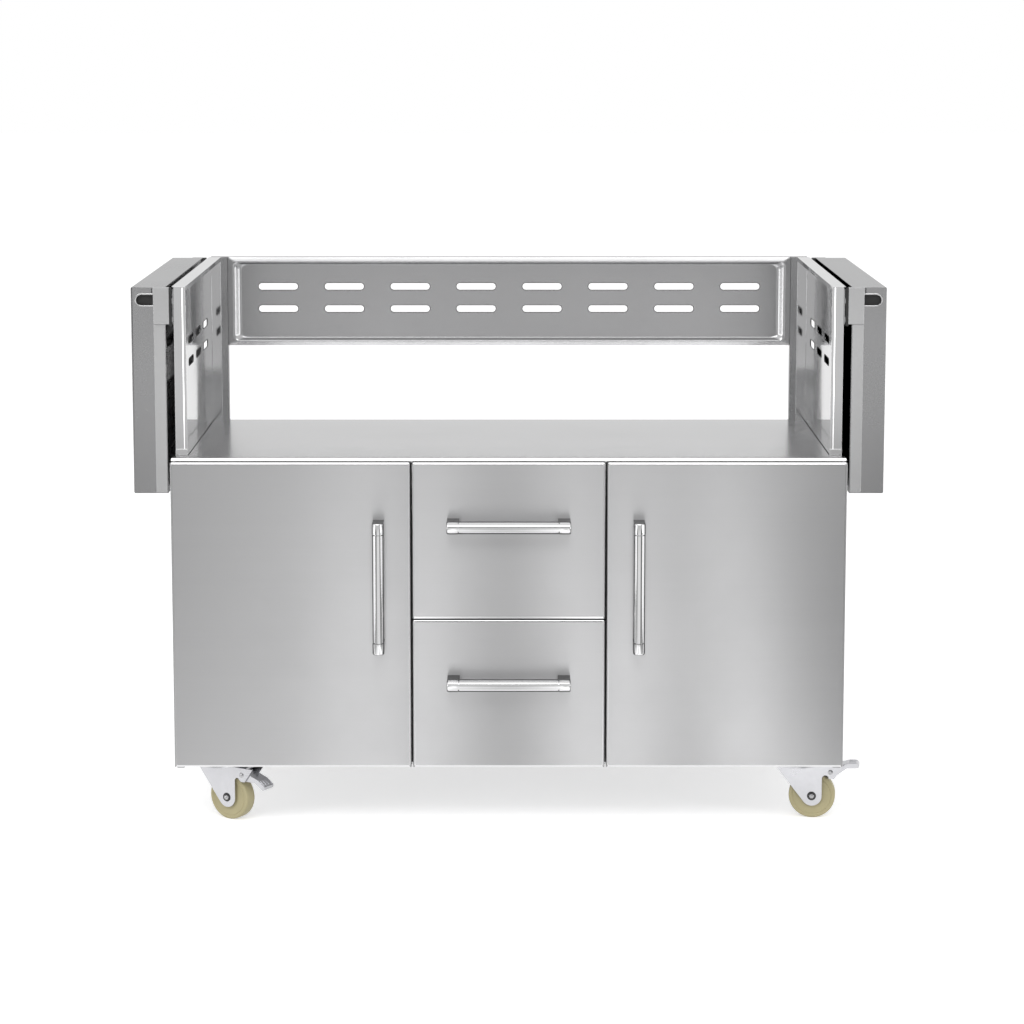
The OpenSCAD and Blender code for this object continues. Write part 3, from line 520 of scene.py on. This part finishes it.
lip_lo, lip_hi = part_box("deck")
hem("deck_lip_hem", [(-0.3094, 0.6342), (-0.3075, 0.6389), (-0.3068, 0.6389),
                     (-0.3068, 0.6342)],
    "x", lip_lo.x + 0.0005, lip_hi.x - 0.0005, "deck", "polished_stainless")
for side, sign in SIDES:
    hem(side + "_frame_hem", [(sign * 0.5480, -0.2872), (sign * 0.5441, -0.2842),
                              (sign * 0.5441, -0.2836), (sign * 0.5480, -0.2836)],
        "z", 0.6392, 0.9243, side + "_upper_frame", "polished_stainless")
print("folded three hems, lip from", round(lip_lo.x, 4), "to", round(lip_hi.x, 4))


# %% Joined loops
def rounded(at, half, r, y):
    """The points of a rounded rectangle across Y, from its middle and half sizes."""
    points = []
    for n, (sx, sz) in enumerate(((1, 1), (-1, 1), (-1, -1), (1, -1))):
        for i in range(9):
            a = math.radians(90 * n + 90 * i / 8)
            points.append(Vector((at[0] + sx * (half[0] - r) + r * math.cos(a), y,
                                  at[1] + sz * (half[1] - r) + r * math.sin(a))))
    return points


def sharp_edges(obj, angle=35):
    """Marks edges over the angle as sharp, so that steps stay crisp."""
    bm = bmesh.new()
    bm.from_mesh(obj.data)
    for e in bm.edges:
        e.smooth = not (e.is_manifold and e.calc_face_angle(0) > math.radians(angle))
    bm.to_mesh(obj.data)
    bm.free()


def pressed(name, loops, node, slot):
    """A ring whose section runs through the loops and back to the first one."""
    count = len(loops[0])
    faces = []
    for a in range(len(loops)):
        b = (a + 1) % len(loops)
        for i in range(count):
            j = (i + 1) % count
            faces.append([a * count + i, a * count + j, b * count + j, b * count + i])
    obj = piece(name, [p for loop in loops for p in loop], faces, node, slot=slot)
    outward(obj)
    sharp_edges(obj)


print("a rounded rectangle has", len(rounded((0, 0), (1, 1), 0.1, 0)), "points")


# %% The rear panel's pressed rim
press_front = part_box("rear_vent_panel")[0].y
press_floor = press_front + 0.006
press_half = (0.5292, 0.0831)
middle = (0.0, 0.8425)
loops = [rounded(middle, press_half, 0.002, press_front - 0.0001),
         rounded(middle, (0.5216, 0.0755), 0.008, press_front - 0.0025)]
for i in range(11):
    t = i / 10
    ease = t * t * (3 - 2 * t)
    loops.append(rounded(middle, (0.5205 - 0.0165 * t, 0.0744 - 0.006 * t),
                         0.009 + 0.002 * t, press_front - 0.0026 + 0.0084 * ease))
for half, y in (((0.504, 0.0684), press_floor + 0.0006),
                (press_half, press_front + 0.0006)):
    loops.append(rounded(middle, half, 0.002, y))
pressed("rear_panel_press", loops, "rear_vent_panel", slot_of["rear_vent_panel"])
print("pressed the rear panel's rim with", len(loops), "loops")


# %% Hems round the fronts, and rims of the shelves' slots
for name in FRONTS:
    lo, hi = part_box(name)
    middle = ((lo.x + hi.x) / 2, (lo.z + hi.z) / 2)
    size = ((hi.x - lo.x) / 2, (hi.z - lo.z) / 2)
    loops = [rounded(middle, (size[0] - inset, size[1] - inset), 0.0022, lo.y + depth)
             for inset, depth in ((0.0000, SLOPE_D - 0.0001), (SLOPE_W, -0.0001),
                                  (SLOPE_W + 0.0002, -0.0001), (SLOPE_W + 0.0003, 0.0002),
                                  (SLOPE_W + 0.0003, 0.0025), (0.0002, 0.0025))]
    pressed(name + "_hem", loops, name, "polished_stainless")
for side, sign in SIDES:
    pan_lo, pan_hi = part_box(side + "_shelf_pan")
    for end, y, out in (("front", pan_lo.y, -1), ("rear", pan_hi.y, 1)):
        loops = [rounded((sign * 0.6076, 0.9031), (0.0176 + grow, 0.0091 + grow),
                         0.0088 + grow, y + out * proud)
                 for grow, proud in ((-0.0002, 0.0001), (0.0004, 0.0003), (0.0014, 0.0003),
                                     (0.0019, 0.0001), (0.0019, -0.0002),
                                     (-0.0002, -0.0002))]
        pressed(side + "_slot_" + end + "_rim", loops, side + "_shelf_pan",
                "deck_stainless")
print("pressed four hems and four slot rims")


# %% [markdown]
# ## Turned parts
# Handles are polished tube with a cap at each end, a deep seam beside each cap, and a
# square foot behind it. Wheels are moulded round a hub, with a step, a thin ring near the
# rim and a rounded tread. Stacked cylinders would show their joints, and both are turned
# shapes, so each is spun from one profile. A foot is spun too, with four steps only.

# %% Lathe
AXES = {"x": Matrix.Rotation(math.radians(90), 4, "Y"),
        "y": Matrix.Rotation(math.radians(-90), 4, "X"),
        "z": Matrix.Identity(4)}


def spin(profile, steps=48):
    """Vertices and faces of a profile of (radius, height) turned round Z."""
    verts, faces, rings = [], [], []
    for r, h in profile:
        if r < 1e-7:
            rings.append([len(verts)])
            verts.append(Vector((0, 0, h)))
        else:
            rings.append(list(range(len(verts), len(verts) + steps)))
            for i in range(steps):
                a = 2 * math.pi * i / steps
                verts.append(Vector((r * math.cos(a), r * math.sin(a), h)))
    for a, b in zip(rings, rings[1:]):
        for i in range(steps):
            j = (i + 1) % steps
            if len(a) == 1 and len(b) == 1:
                continue
            if len(a) == 1:
                faces.append([a[0], b[j], b[i]])
            elif len(b) == 1:
                faces.append([a[i], a[j], b[0]])
            else:
                faces.append([a[i], a[j], b[j], b[i]])
    return verts, faces


def both_ends(side):
    """A profile from one end to its middle, with its mirror image added."""
    return side + [(r, -h) for r, h in reversed(side[:-1])]


def merge(parts):
    """Joins several (verts, faces, matrix) into one list of vertices and faces."""
    verts, faces = [], []
    for vs, fs, m in parts:
        base = len(verts)
        verts += [m @ v for v in vs]
        faces += [[base + i for i in f] for f in fs]
    return verts, faces


print("lathe axes:", ", ".join(AXES))


# %% Handles
SEAM = 0.0008


def handle(node, axis, length, r, cap=0.02):
    """One tube handle with caps and square feet, inside the CAD handle's box."""
    lo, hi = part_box(node)
    mid = (lo + hi) / 2
    mid.y = lo.y + r
    half, bar = length / 2, length / 2 - cap
    end = [(0, half), (r - 0.0030, half), (r - 0.0014, half - 0.0004),
           (r - 0.0004, half - 0.0014), (r, half - 0.0030), (r, bar + SEAM),
           (r - 0.0026, bar + SEAM), (r - 0.0026, bar - SEAM), (r - 0.0003, bar - SEAM),
           (r - 0.0003, 0)]
    parts = [(*spin(both_ends(end)), Matrix.Translation(mid) @ AXES[axis])]
    reach = hi.y - mid.y
    corner = (r - 0.0006) * math.sqrt(2)
    foot = [(corner, 0), (corner, reach), (0, reach)]
    square = Matrix.Rotation(math.radians(45), 4, "Z")
    for s in (-1, 1):
        at = mid.copy()
        at["xyz".index(axis)] += s * (half - r)
        parts.append((*spin(foot, 4), Matrix.Translation(at) @ AXES["y"] @ square))
    obj = piece(node + "_turned", *merge(parts), node)
    outward(obj)
    sharp_edges(obj)
    # The attribute marks the handle for the painted side shade of its polished finish.
    tube = obj.data.attributes.new("tube", "FLOAT", "POINT")
    tube.data.foreach_set("value", [1.0] * len(obj.data.vertices))
    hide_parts(node)


for side, _ in SIDES:
    handle(side + "_door_handle", "z", 0.225, 0.010)
for level in ("upper", "lower"):
    handle(level + "_drawer_handle", "x", 0.209, 0.011)
print("turned four handles")


# %% Wheels
CASTERS = ("front_left", "front_right", "rear_left", "rear_right")


def caster_frame(name):
    """Kingpin place and turn of a caster, from its wheel's joint."""
    joint = next(j for j in frame["joints"] if j["name"] == name + "_wheel_spin")
    axis = Vector(joint["axis"]).normalized()
    yaw = math.atan2(-axis.x, axis.y)
    return Vector(joint["pos_m"]), yaw


def wheel(name):
    """A moulded wheel with hub, step, ring and rounded tread."""
    pos, yaw = caster_frame(name)
    h = 0.0125
    face = [(0.0045, h), (0.0136, h), (0.0146, h - 0.0003), (0.0150, h - 0.0010),
            (0.0152, h - 0.0014), (0.0165, h - 0.0016), (0.0300, h - 0.0016),
            (0.0316, h - 0.0012), (0.0324, h - 0.0012), (0.0330, h - 0.0018),
            (0.0336, h - 0.0012), (0.0350, h - 0.0009), (0.0372, h - 0.0010),
            (0.0386, h - 0.0014), (0.0395, h - 0.0024), (0.0400, h - 0.0040), (0.0400, 0)]
    profile = both_ends(face) + [face[0]]
    turn = Matrix.Translation(pos) @ Matrix.Rotation(yaw, 4, "Z") @ AXES["y"]
    obj = piece(name + "_wheel_turned", *merge([(*spin(profile, 72), turn)]),
                name + "_wheel")
    outward(obj)
    sharp_edges(obj, 50)
    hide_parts(name + "_wheel")


for name in CASTERS:
    wheel(name)
print("turned four wheels")


# %% [markdown]
# ## Axles
# Each wheel turns on an axle bolt with a domed nut at both ends, set in a dark washer, and
# a brake pedal turns on a smaller pin. A nut could be a modelled hexagon, but at this size
# only its dome shows, so it's another turned shape: a flange, a short side and a dome.

# %% Axles and domed nuts
OUT = 0.017


def axle(name):
    """The axle and pedal pin of one caster, with dark washers under its nuts."""
    pos, yaw = caster_frame(name)
    node = name + "_pins"
    turn = Matrix.Rotation(yaw, 4, "Z") @ AXES["y"]
    nut = [(0, OUT + 0.0045), (0.0016, OUT + 0.0043), (0.0034, OUT + 0.0034),
           (0.0045, OUT + 0.0020), (0.0048, OUT + 0.0008), (0.0048, OUT + 0.0002),
           (0.0066, OUT + 0.0002), (0.0066, OUT), (0.0040, OUT), (0.0040, 0)]
    parts = [(*spin(both_ends(nut), 36), Matrix.Translation(pos) @ turn)]
    for joint in frame["joints"]:
        if joint["name"] == name + "_brake_pedal":
            head = [(0, OUT + 0.0015), (0.0030, OUT + 0.0013), (0.0045, OUT + 0.0004),
                    (0.0045, OUT), (0.0030, OUT), (0.0030, 0)]
            parts.append((*spin(both_ends(head), 24),
                          Matrix.Translation(Vector(joint["pos_m"])) @ turn))
    obj = piece(node + "_turned", *merge(parts), node)
    outward(obj)
    sharp_edges(obj)
    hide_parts(node)
    rings = []
    for s in (-1, 1):
        low, high = OUT * s, (OUT + 0.0010) * s
        ring = [(0.0050, low), (0.0050, high), (0.0074, high), (0.0078, low), (0.0050, low)]
        rings.append((*spin(ring, 36), Matrix.Translation(pos) @ turn))
    washers = piece(name + "_washers", *merge(rings), node, slot="black_plastic")
    outward(washers)
    sharp_edges(washers)


for name in CASTERS:
    axle(name)
print("turned four axles")


# %% [markdown]
# ## Bolts and vent rims
# Sixteen bolts hold the casters, and every vent slot gets a thin black rim, which paints
# the shade on the slot's edges. Copies could be placed one by one in a loop, but both
# repeat in rows, so Geometry Nodes place them: one tree builds a bolt and puts it on the
# points of two nested grids, the other sweeps a small circle round a rounded rectangle and
# repeats it along lines. The results become plain meshes that ride with the carcass.

# %% Geometry Nodes helpers
def new_tree(name, inputs):
    """A geometry tree with named number inputs, and its two end nodes."""
    tree = bpy.data.node_groups.new(name, "GeometryNodeTree")
    tree.interface.new_socket("Geometry", in_out="INPUT", socket_type="NodeSocketGeometry")
    for label, value in inputs:
        kind = ("NodeSocketMaterial" if value is None else
                "NodeSocketInt" if isinstance(value, int) else "NodeSocketFloat")
        socket = tree.interface.new_socket(label, in_out="INPUT", socket_type=kind)
        if value is not None:
            socket.default_value = value
    tree.interface.new_socket("Geometry", in_out="OUTPUT", socket_type="NodeSocketGeometry")
    return tree, tree.nodes.new("NodeGroupInput"), tree.nodes.new("NodeGroupOutput")


def add(tree, kind, **links):
    """Adds a node, and sets or links its inputs: a socket's name has _ for a space."""
    n = tree.nodes.new(kind)
    for label, value in links.items():
        socket = n.inputs[label.replace("_", " ")]
        if isinstance(value, bpy.types.NodeSocket):
            tree.links.new(value, socket)
        else:
            socket.default_value = value
    return n


def vector(tree, x=0.0, y=0.0, z=0.0):
    """A vector from three sockets or plain numbers."""
    return add(tree, "ShaderNodeCombineXYZ", X=x, Y=y, Z=z).outputs[0]


def finish_tree(tree, geometry, material, gout):
    """Ends a tree in Realize Instances and Set Material."""
    real = add(tree, "GeometryNodeRealizeInstances", Geometry=geometry)
    painted = add(tree, "GeometryNodeSetMaterial", Geometry=real.outputs[0],
                  Material=material)
    tree.links.new(painted.outputs[0], gout.inputs[0])


def grown(name, tree, values, node, slot):
    """Evaluates a tree once and keeps the result as a plain mesh on the node's body."""
    host = bpy.data.objects.new(name + "_host", bpy.data.meshes.new(name + "_host"))
    bpy.context.scene.collection.objects.link(host)
    modifier = host.modifiers.new("grow", "NODES")
    modifier.node_group = tree
    for item in tree.interface.items_tree:
        if item.in_out == "INPUT" and item.name in values:
            modifier[item.identifier] = values[item.name]
        elif item.in_out == "INPUT" and item.name == "Material":
            modifier[item.identifier] = MATERIALS[slot]
    graph = bpy.context.evaluated_depsgraph_get()
    mesh = bpy.data.meshes.new_from_object(host.evaluated_get(graph))
    host.modifiers.clear()
    bpy.data.objects.remove(host)
    mesh.name = name
    obj = carried(name, mesh, node)
    outward(obj)
    sharp_edges(obj)
    print(name, "has", len(mesh.polygons), "faces")
    return obj


print("tree helpers: new_tree, add, vector, finish_tree, grown")


# %% Caster bolts
HEAD_Z, NUT_Z = 0.0970, 0.1077
# height, radius and thickness of what is round in a bolt
LOWER_WASHER = (0.1008, 0.0082, 0.0012)
UPPER_WASHER = (0.1065, 0.0082, 0.0012)
SHANK = (0.0966, 0.0040, 0.0149)


def bolt_tree():
    """Hexagonal bolts with a flange and a nut, four round each of four kingpins."""
    tree, gin, gout = new_tree("caster_bolts", [
        ("Material", None), ("Cart Width", 1.0), ("Cart Depth", 0.51),
        ("Plate Length", 0.084), ("Plate Width", 0.060), ("Head Radius", 0.0072),
        ("Head Height", 0.0038), ("Middle Y", 0.024)])
    v = gin.outputs
    join = tree.nodes.new("GeometryNodeJoinGeometry")
    for low in (HEAD_Z, NUT_Z):
        hexagon = add(tree, "GeometryNodeMeshCone", Vertices=6, Depth=v["Head Height"],
                      Radius_Bottom=v["Head Radius"], Radius_Top=v["Head Radius"])
        raised = add(tree, "GeometryNodeTransform", Geometry=hexagon.outputs["Mesh"],
                     Translation=vector(tree, z=low))
        tree.links.new(raised.outputs[0], join.inputs[0])
    for low, radius, depth in (LOWER_WASHER, UPPER_WASHER, SHANK):
        disc = add(tree, "GeometryNodeMeshCone", Vertices=24, Depth=depth,
                   Radius_Bottom=radius, Radius_Top=radius)
        raised = add(tree, "GeometryNodeTransform", Geometry=disc.outputs["Mesh"],
                     Translation=vector(tree, z=low))
        tree.links.new(raised.outputs[0], join.inputs[0])
    corners = add(tree, "GeometryNodeMeshGrid", Vertices_X=2, Vertices_Y=2,
                  Size_X=v["Plate Length"], Size_Y=v["Plate Width"])
    four = add(tree, "GeometryNodeInstanceOnPoints", Points=corners.outputs["Mesh"],
               Instance=join.outputs[0])
    cart = add(tree, "GeometryNodeMeshGrid", Vertices_X=2, Vertices_Y=2,
               Size_X=v["Cart Width"], Size_Y=v["Cart Depth"])
    middle = add(tree, "GeometryNodeTransform", Geometry=cart.outputs["Mesh"],
                 Translation=vector(tree, y=v["Middle Y"]))
    all_four = add(tree, "GeometryNodeInstanceOnPoints", Points=middle.outputs[0],
                   Instance=four.outputs[0])
    finish_tree(tree, all_four.outputs[0], v["Material"], gout)
    return tree


bolts = grown("caster_bolts_turned", bolt_tree(), {}, "caster_bolts", "fastener_steel")
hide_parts("caster_bolts")


# %% Vent rims
def rim_tree():
    """Thin rims round two rows of slots, in a plane that turns about Z; given black, they
    paint the shade on the slots' edges.
    """
    tree, gin, gout = new_tree("vent_shade_rims", [
        ("Material", None), ("Slot Length", 0.075), ("Slot Height", 0.0135),
        ("Rim Radius", 0.0006), ("Count", 8), ("Pitch", 0.1243), ("Upper Row", 0.87),
        ("Lower Row", 0.828), ("X", 0.0), ("Y", 0.0), ("Turn", 0.0)])
    v = gin.outputs
    outline = add(tree, "GeometryNodeCurvePrimitiveQuadrilateral", Width=v["Slot Length"],
                  Height=v["Slot Height"])
    half = math_node(tree, "MULTIPLY", v["Slot Height"], 0.499)
    fillet = add(tree, "GeometryNodeFilletCurve", Curve=outline.outputs[0], Radius=half)
    fillet.mode = "POLY"
    fillet.inputs["Count"].default_value = 8
    section = add(tree, "GeometryNodeCurvePrimitiveCircle", Resolution=8,
                  Radius=v["Rim Radius"])
    rim = add(tree, "GeometryNodeCurveToMesh", Curve=fillet.outputs[0],
              Profile_Curve=section.outputs[0])
    upright = add(tree, "GeometryNodeTransform", Geometry=rim.outputs[0],
                  Rotation=(math.radians(90), 0, 0))
    span = math_node(tree, "MULTIPLY", v["Pitch"],
                     math_node(tree, "SUBTRACT", v["Count"], 1.0))
    start = math_node(tree, "MULTIPLY", span, -0.5)
    join = tree.nodes.new("GeometryNodeJoinGeometry")
    for row in ("Upper Row", "Lower Row"):
        line = add(tree, "GeometryNodeMeshLine", Count=v["Count"],
                   Start_Location=vector(tree, x=start, z=v[row]),
                   Offset=vector(tree, x=v["Pitch"]))
        rims = add(tree, "GeometryNodeInstanceOnPoints", Points=line.outputs[0],
                   Instance=upright.outputs[0])
        tree.links.new(rims.outputs[0], join.inputs[0])
    placed = add(tree, "GeometryNodeTransform", Geometry=join.outputs[0],
                 Translation=vector(tree, x=v["X"], y=v["Y"]),
                 Rotation=vector(tree, z=v["Turn"]))
    finish_tree(tree, placed.outputs[0], v["Material"], gout)
    return tree


rims = rim_tree()
# Painted shade: the rims are black, to darken the edges of the vent slots.
grown("rear_vent_shade_rims", rims, {"Y": press_floor}, "rear_vent_panel", "black_plastic")
for side, sign in SIDES:
    grown(side + "_vent_shade_rims", rims,
          {"Count": 4, "Upper Row": 0.813, "Lower Row": 0.774, "X": sign * 0.5605,
           "Y": 0.024, "Turn": math.radians(90)},
          side + "_upper_frame", "black_plastic")


# %% [markdown]
# ## Studio
# The picture was cut out on white, with soft light from everywhere, yet its polished parts
# mirror a dimmer room with upright lights. White on all sides would leave the steel flat
# and pale. So floor and surroundings are white, and a card in front of the cart, seen only
# in reflections, has bright strips, dim upper corners and a dark flag at its top. The floor
# before the cart mirrors at the same level. A large soft light above the front and a
# smaller one at each side model the shapes.

# %% Brightness of the front card
CARD_REACH = 1.8
STRIP_REACH = 1.5
STRIPS = [(-1.5, 0.35), (1.5, 0.25), (-1.0, 0.45), (-0.70, 0.72), (-0.46, 0.84),
          (-0.25, 1.26), (0.0, 0.64), (0.18, 1.28), (0.32, 0.84), (0.44, 1.26),
          (0.72, 0.50), (1.0, 0.32)]
CORNER_X, CORNER_Z, CORNER_LOSS = (0.42, 0.80), (0.05, 0.38), 0.42
UPPER_Z, UPPER_LEVEL = (0.34, 0.58), 0.74
FLAG_Z, FLAG_LEVEL = (0.92, 0.96), 0.03


def own_axes(tree):
    """The Object coordinates of a point, as outputs X, Y and Z."""
    coords = tree.nodes.new("ShaderNodeTexCoord")
    split = tree.nodes.new("ShaderNodeSeparateXYZ")
    tree.links.new(coords.outputs["Object"], split.inputs[0])
    return split.outputs


def studio_level_group():
    """How bright the front of the studio looks in polished steel: upright strips that dim
    towards the upper corners, one plain level above them, and a dark flag on top."""
    tree, _, gout = new_group("studio_level", [], [("Level", "NodeSocketFloat")])
    at = own_axes(tree)
    ramp = tree.nodes.new("ShaderNodeValToRGB")
    ramp.color_ramp.interpolation = "EASE"
    stops = ramp.color_ramp.elements
    for i, (x, level) in enumerate(STRIPS):
        share = (x + STRIP_REACH) / (2 * STRIP_REACH)
        stop = stops[i] if i < 2 else stops.new(share)
        stop.position = share
        stop.color = (level, level, level, 1)
    tree.links.new(map_range(tree, at["X"], -STRIP_REACH, STRIP_REACH), ramp.inputs["Fac"])
    strips = tree.nodes.new("ShaderNodeSeparateColor")
    tree.links.new(ramp.outputs["Color"], strips.inputs[0])
    outer = map_range(tree, math_node(tree, "ABSOLUTE", at["X"]), *CORNER_X)
    corner = math_node(tree, "MULTIPLY", outer, map_range(tree, at["Z"], *CORNER_Z))
    kept = math_node(tree, "SUBTRACT", 1.0,
                     math_node(tree, "MULTIPLY", corner, CORNER_LOSS))
    mix = tree.nodes.new("ShaderNodeMix")
    mix.inputs["B"].default_value = UPPER_LEVEL
    tree.links.new(map_range(tree, at["Z"], *UPPER_Z, smooth=True), mix.inputs["Factor"])
    tree.links.new(math_node(tree, "MULTIPLY", strips.outputs[0], kept), mix.inputs["A"])
    flag = map_range(tree, at["Z"], *FLAG_Z, 1.0, FLAG_LEVEL)
    tree.links.new(math_node(tree, "MULTIPLY", mix.outputs["Result"], flag),
                   gout.inputs["Level"])
    return tree


STUDIO = studio_level_group()
print("the front card has", len(STRIPS), "levels across", 2 * STRIP_REACH, "m")


# %% Floor
FLOOR_HALF = 30
FLOOR_FRONT = -0.45
FLOOR_WHITE, FLOOR_GLOW = 0.9, 0.48


def stage_plane(name, corners):
    """A flat rectangle that belongs to the studio, and the node tree of its material."""
    mesh = bpy.data.meshes.new(name)
    mesh.from_pydata(corners, [], [[0, 1, 2, 3]])
    obj = bpy.data.objects.new(name, mesh)
    bpy.context.scene.collection.objects.link(obj)
    mat = bpy.data.materials.new(name)
    mat.use_nodes = True
    mesh.materials.append(mat)
    return mat.node_tree


def seen_by(tree, camera_too=True):
    """1 for the rays that show the background: glossy, transmission and camera."""
    path = tree.nodes.new("ShaderNodeLightPath")
    shiny = math_node(tree, "MAXIMUM", path.outputs["Is Glossy Ray"],
                      path.outputs["Is Transmission Ray"])
    if not camera_too:
        return shiny
    return math_node(tree, "MAXIMUM", shiny, path.outputs["Is Camera Ray"])


tree = stage_plane("floor", [(x * FLOOR_HALF, y * FLOOR_HALF, 0)
                             for x, y in ((-1, -1), (1, -1), (1, 1), (-1, 1))])
bsdf = tree.nodes["Principled BSDF"]
bsdf.inputs["Roughness"].default_value = 0.9
bsdf.inputs["Specular IOR Level"].default_value = 0.0
bsdf.inputs["Emission Strength"].default_value = 1.0
at = own_axes(tree)
ahead = math_node(tree, "LESS_THAN", at["Y"], FLOOR_FRONT)
between = math_node(tree, "LESS_THAN", math_node(tree, "ABSOLUTE", at["X"]), CARD_REACH)
in_front = math_node(tree, "MULTIPLY", math_node(tree, "MULTIPLY", ahead, between),
                     seen_by(tree, camera_too=False))
level = tree.nodes.new("ShaderNodeMix")
level.inputs["A"].default_value = 1.0
tree.links.new(in_front, level.inputs["Factor"])
tree.links.new(place(tree, STUDIO)["Level"], level.inputs["B"])
glow = math_node(tree, "MULTIPLY", seen_by(tree), FLOOR_GLOW)
tree.links.new(math_node(tree, "MULTIPLY", glow, level.outputs["Result"]),
               bsdf.inputs["Emission Color"])
tree.links.new(math_node(tree, "MULTIPLY", level.outputs["Result"], FLOOR_WHITE),
               bsdf.inputs["Base Color"])
print("laid a floor", 2 * FLOOR_HALF, "m wide")


# %% Front card
CARD_Y, CARD_FOOT, CARD_TOP = -1.6, -0.001, 1.25


def mixed(tree, output, factor, plain, shown):
    """Ends a tree in two shaders mixed by a factor."""
    mix = tree.nodes.new("ShaderNodeMixShader")
    out = tree.nodes.new(output)
    tree.links.new(factor, mix.inputs["Fac"])
    tree.links.new(plain.outputs[0], mix.inputs[1])
    tree.links.new(shown.outputs[0], mix.inputs[2])
    tree.links.new(mix.outputs[0], out.inputs["Surface"])


tree = stage_plane("front_card", [(-CARD_REACH, CARD_Y, CARD_FOOT),
                                  (CARD_REACH, CARD_Y, CARD_FOOT),
                                  (CARD_REACH, CARD_Y, CARD_TOP),
                                  (-CARD_REACH, CARD_Y, CARD_TOP)])
tree.nodes.clear()
shine = tree.nodes.new("ShaderNodeEmission")
tree.links.new(place(tree, STUDIO)["Level"], shine.inputs["Color"])
clear = tree.nodes.new("ShaderNodeBsdfTransparent")
mixed(tree, "ShaderNodeOutputMaterial", seen_by(tree, camera_too=False), clear, shine)
print("stood a card at y =", CARD_Y, "up to z =", CARD_TOP)


# %% Surroundings
WHITE, DAYLIGHT = 1.0, 0.75
world = bpy.data.worlds.new("studio")
bpy.context.scene.world = world
world.use_nodes = True
tree = world.node_tree
tree.nodes.clear()
backdrops = []
for strength in (DAYLIGHT, WHITE):
    backdrop = tree.nodes.new("ShaderNodeBackground")
    backdrop.inputs["Strength"].default_value = strength
    backdrop.inputs["Color"].default_value = (1, 1, 1, 1)
    backdrops.append(backdrop)
mixed(tree, "ShaderNodeOutputWorld", seen_by(tree), *backdrops)
bpy.context.scene.view_settings.view_transform = "Standard"
print("the surroundings look", WHITE, "bright and light the cart at", DAYLIGHT)


# %% Lamps
def softbox(name, location, size, power):
    """An area light that points at the middle of the cart."""
    data = bpy.data.lights.new(name, "AREA")
    data.shape = "RECTANGLE"
    data.size, data.size_y = size
    data.energy = power
    obj = bpy.data.objects.new(name, data)
    obj.location = location
    aim = Vector((0, 0, 0.5)) - Vector(location)
    obj.rotation_euler = aim.to_track_quat("-Z", "Y").to_euler()
    bpy.context.scene.collection.objects.link(obj)
    print(name, "light", size, "m,", power, "W")


softbox("key", (-0.7, -3.6, 3.6), (5.0, 2.0), 80)
for side, sign in SIDES:
    softbox(side + "_strip", (sign * 4.2, -2.5, 0.8), (1.0, 2.4), 22)
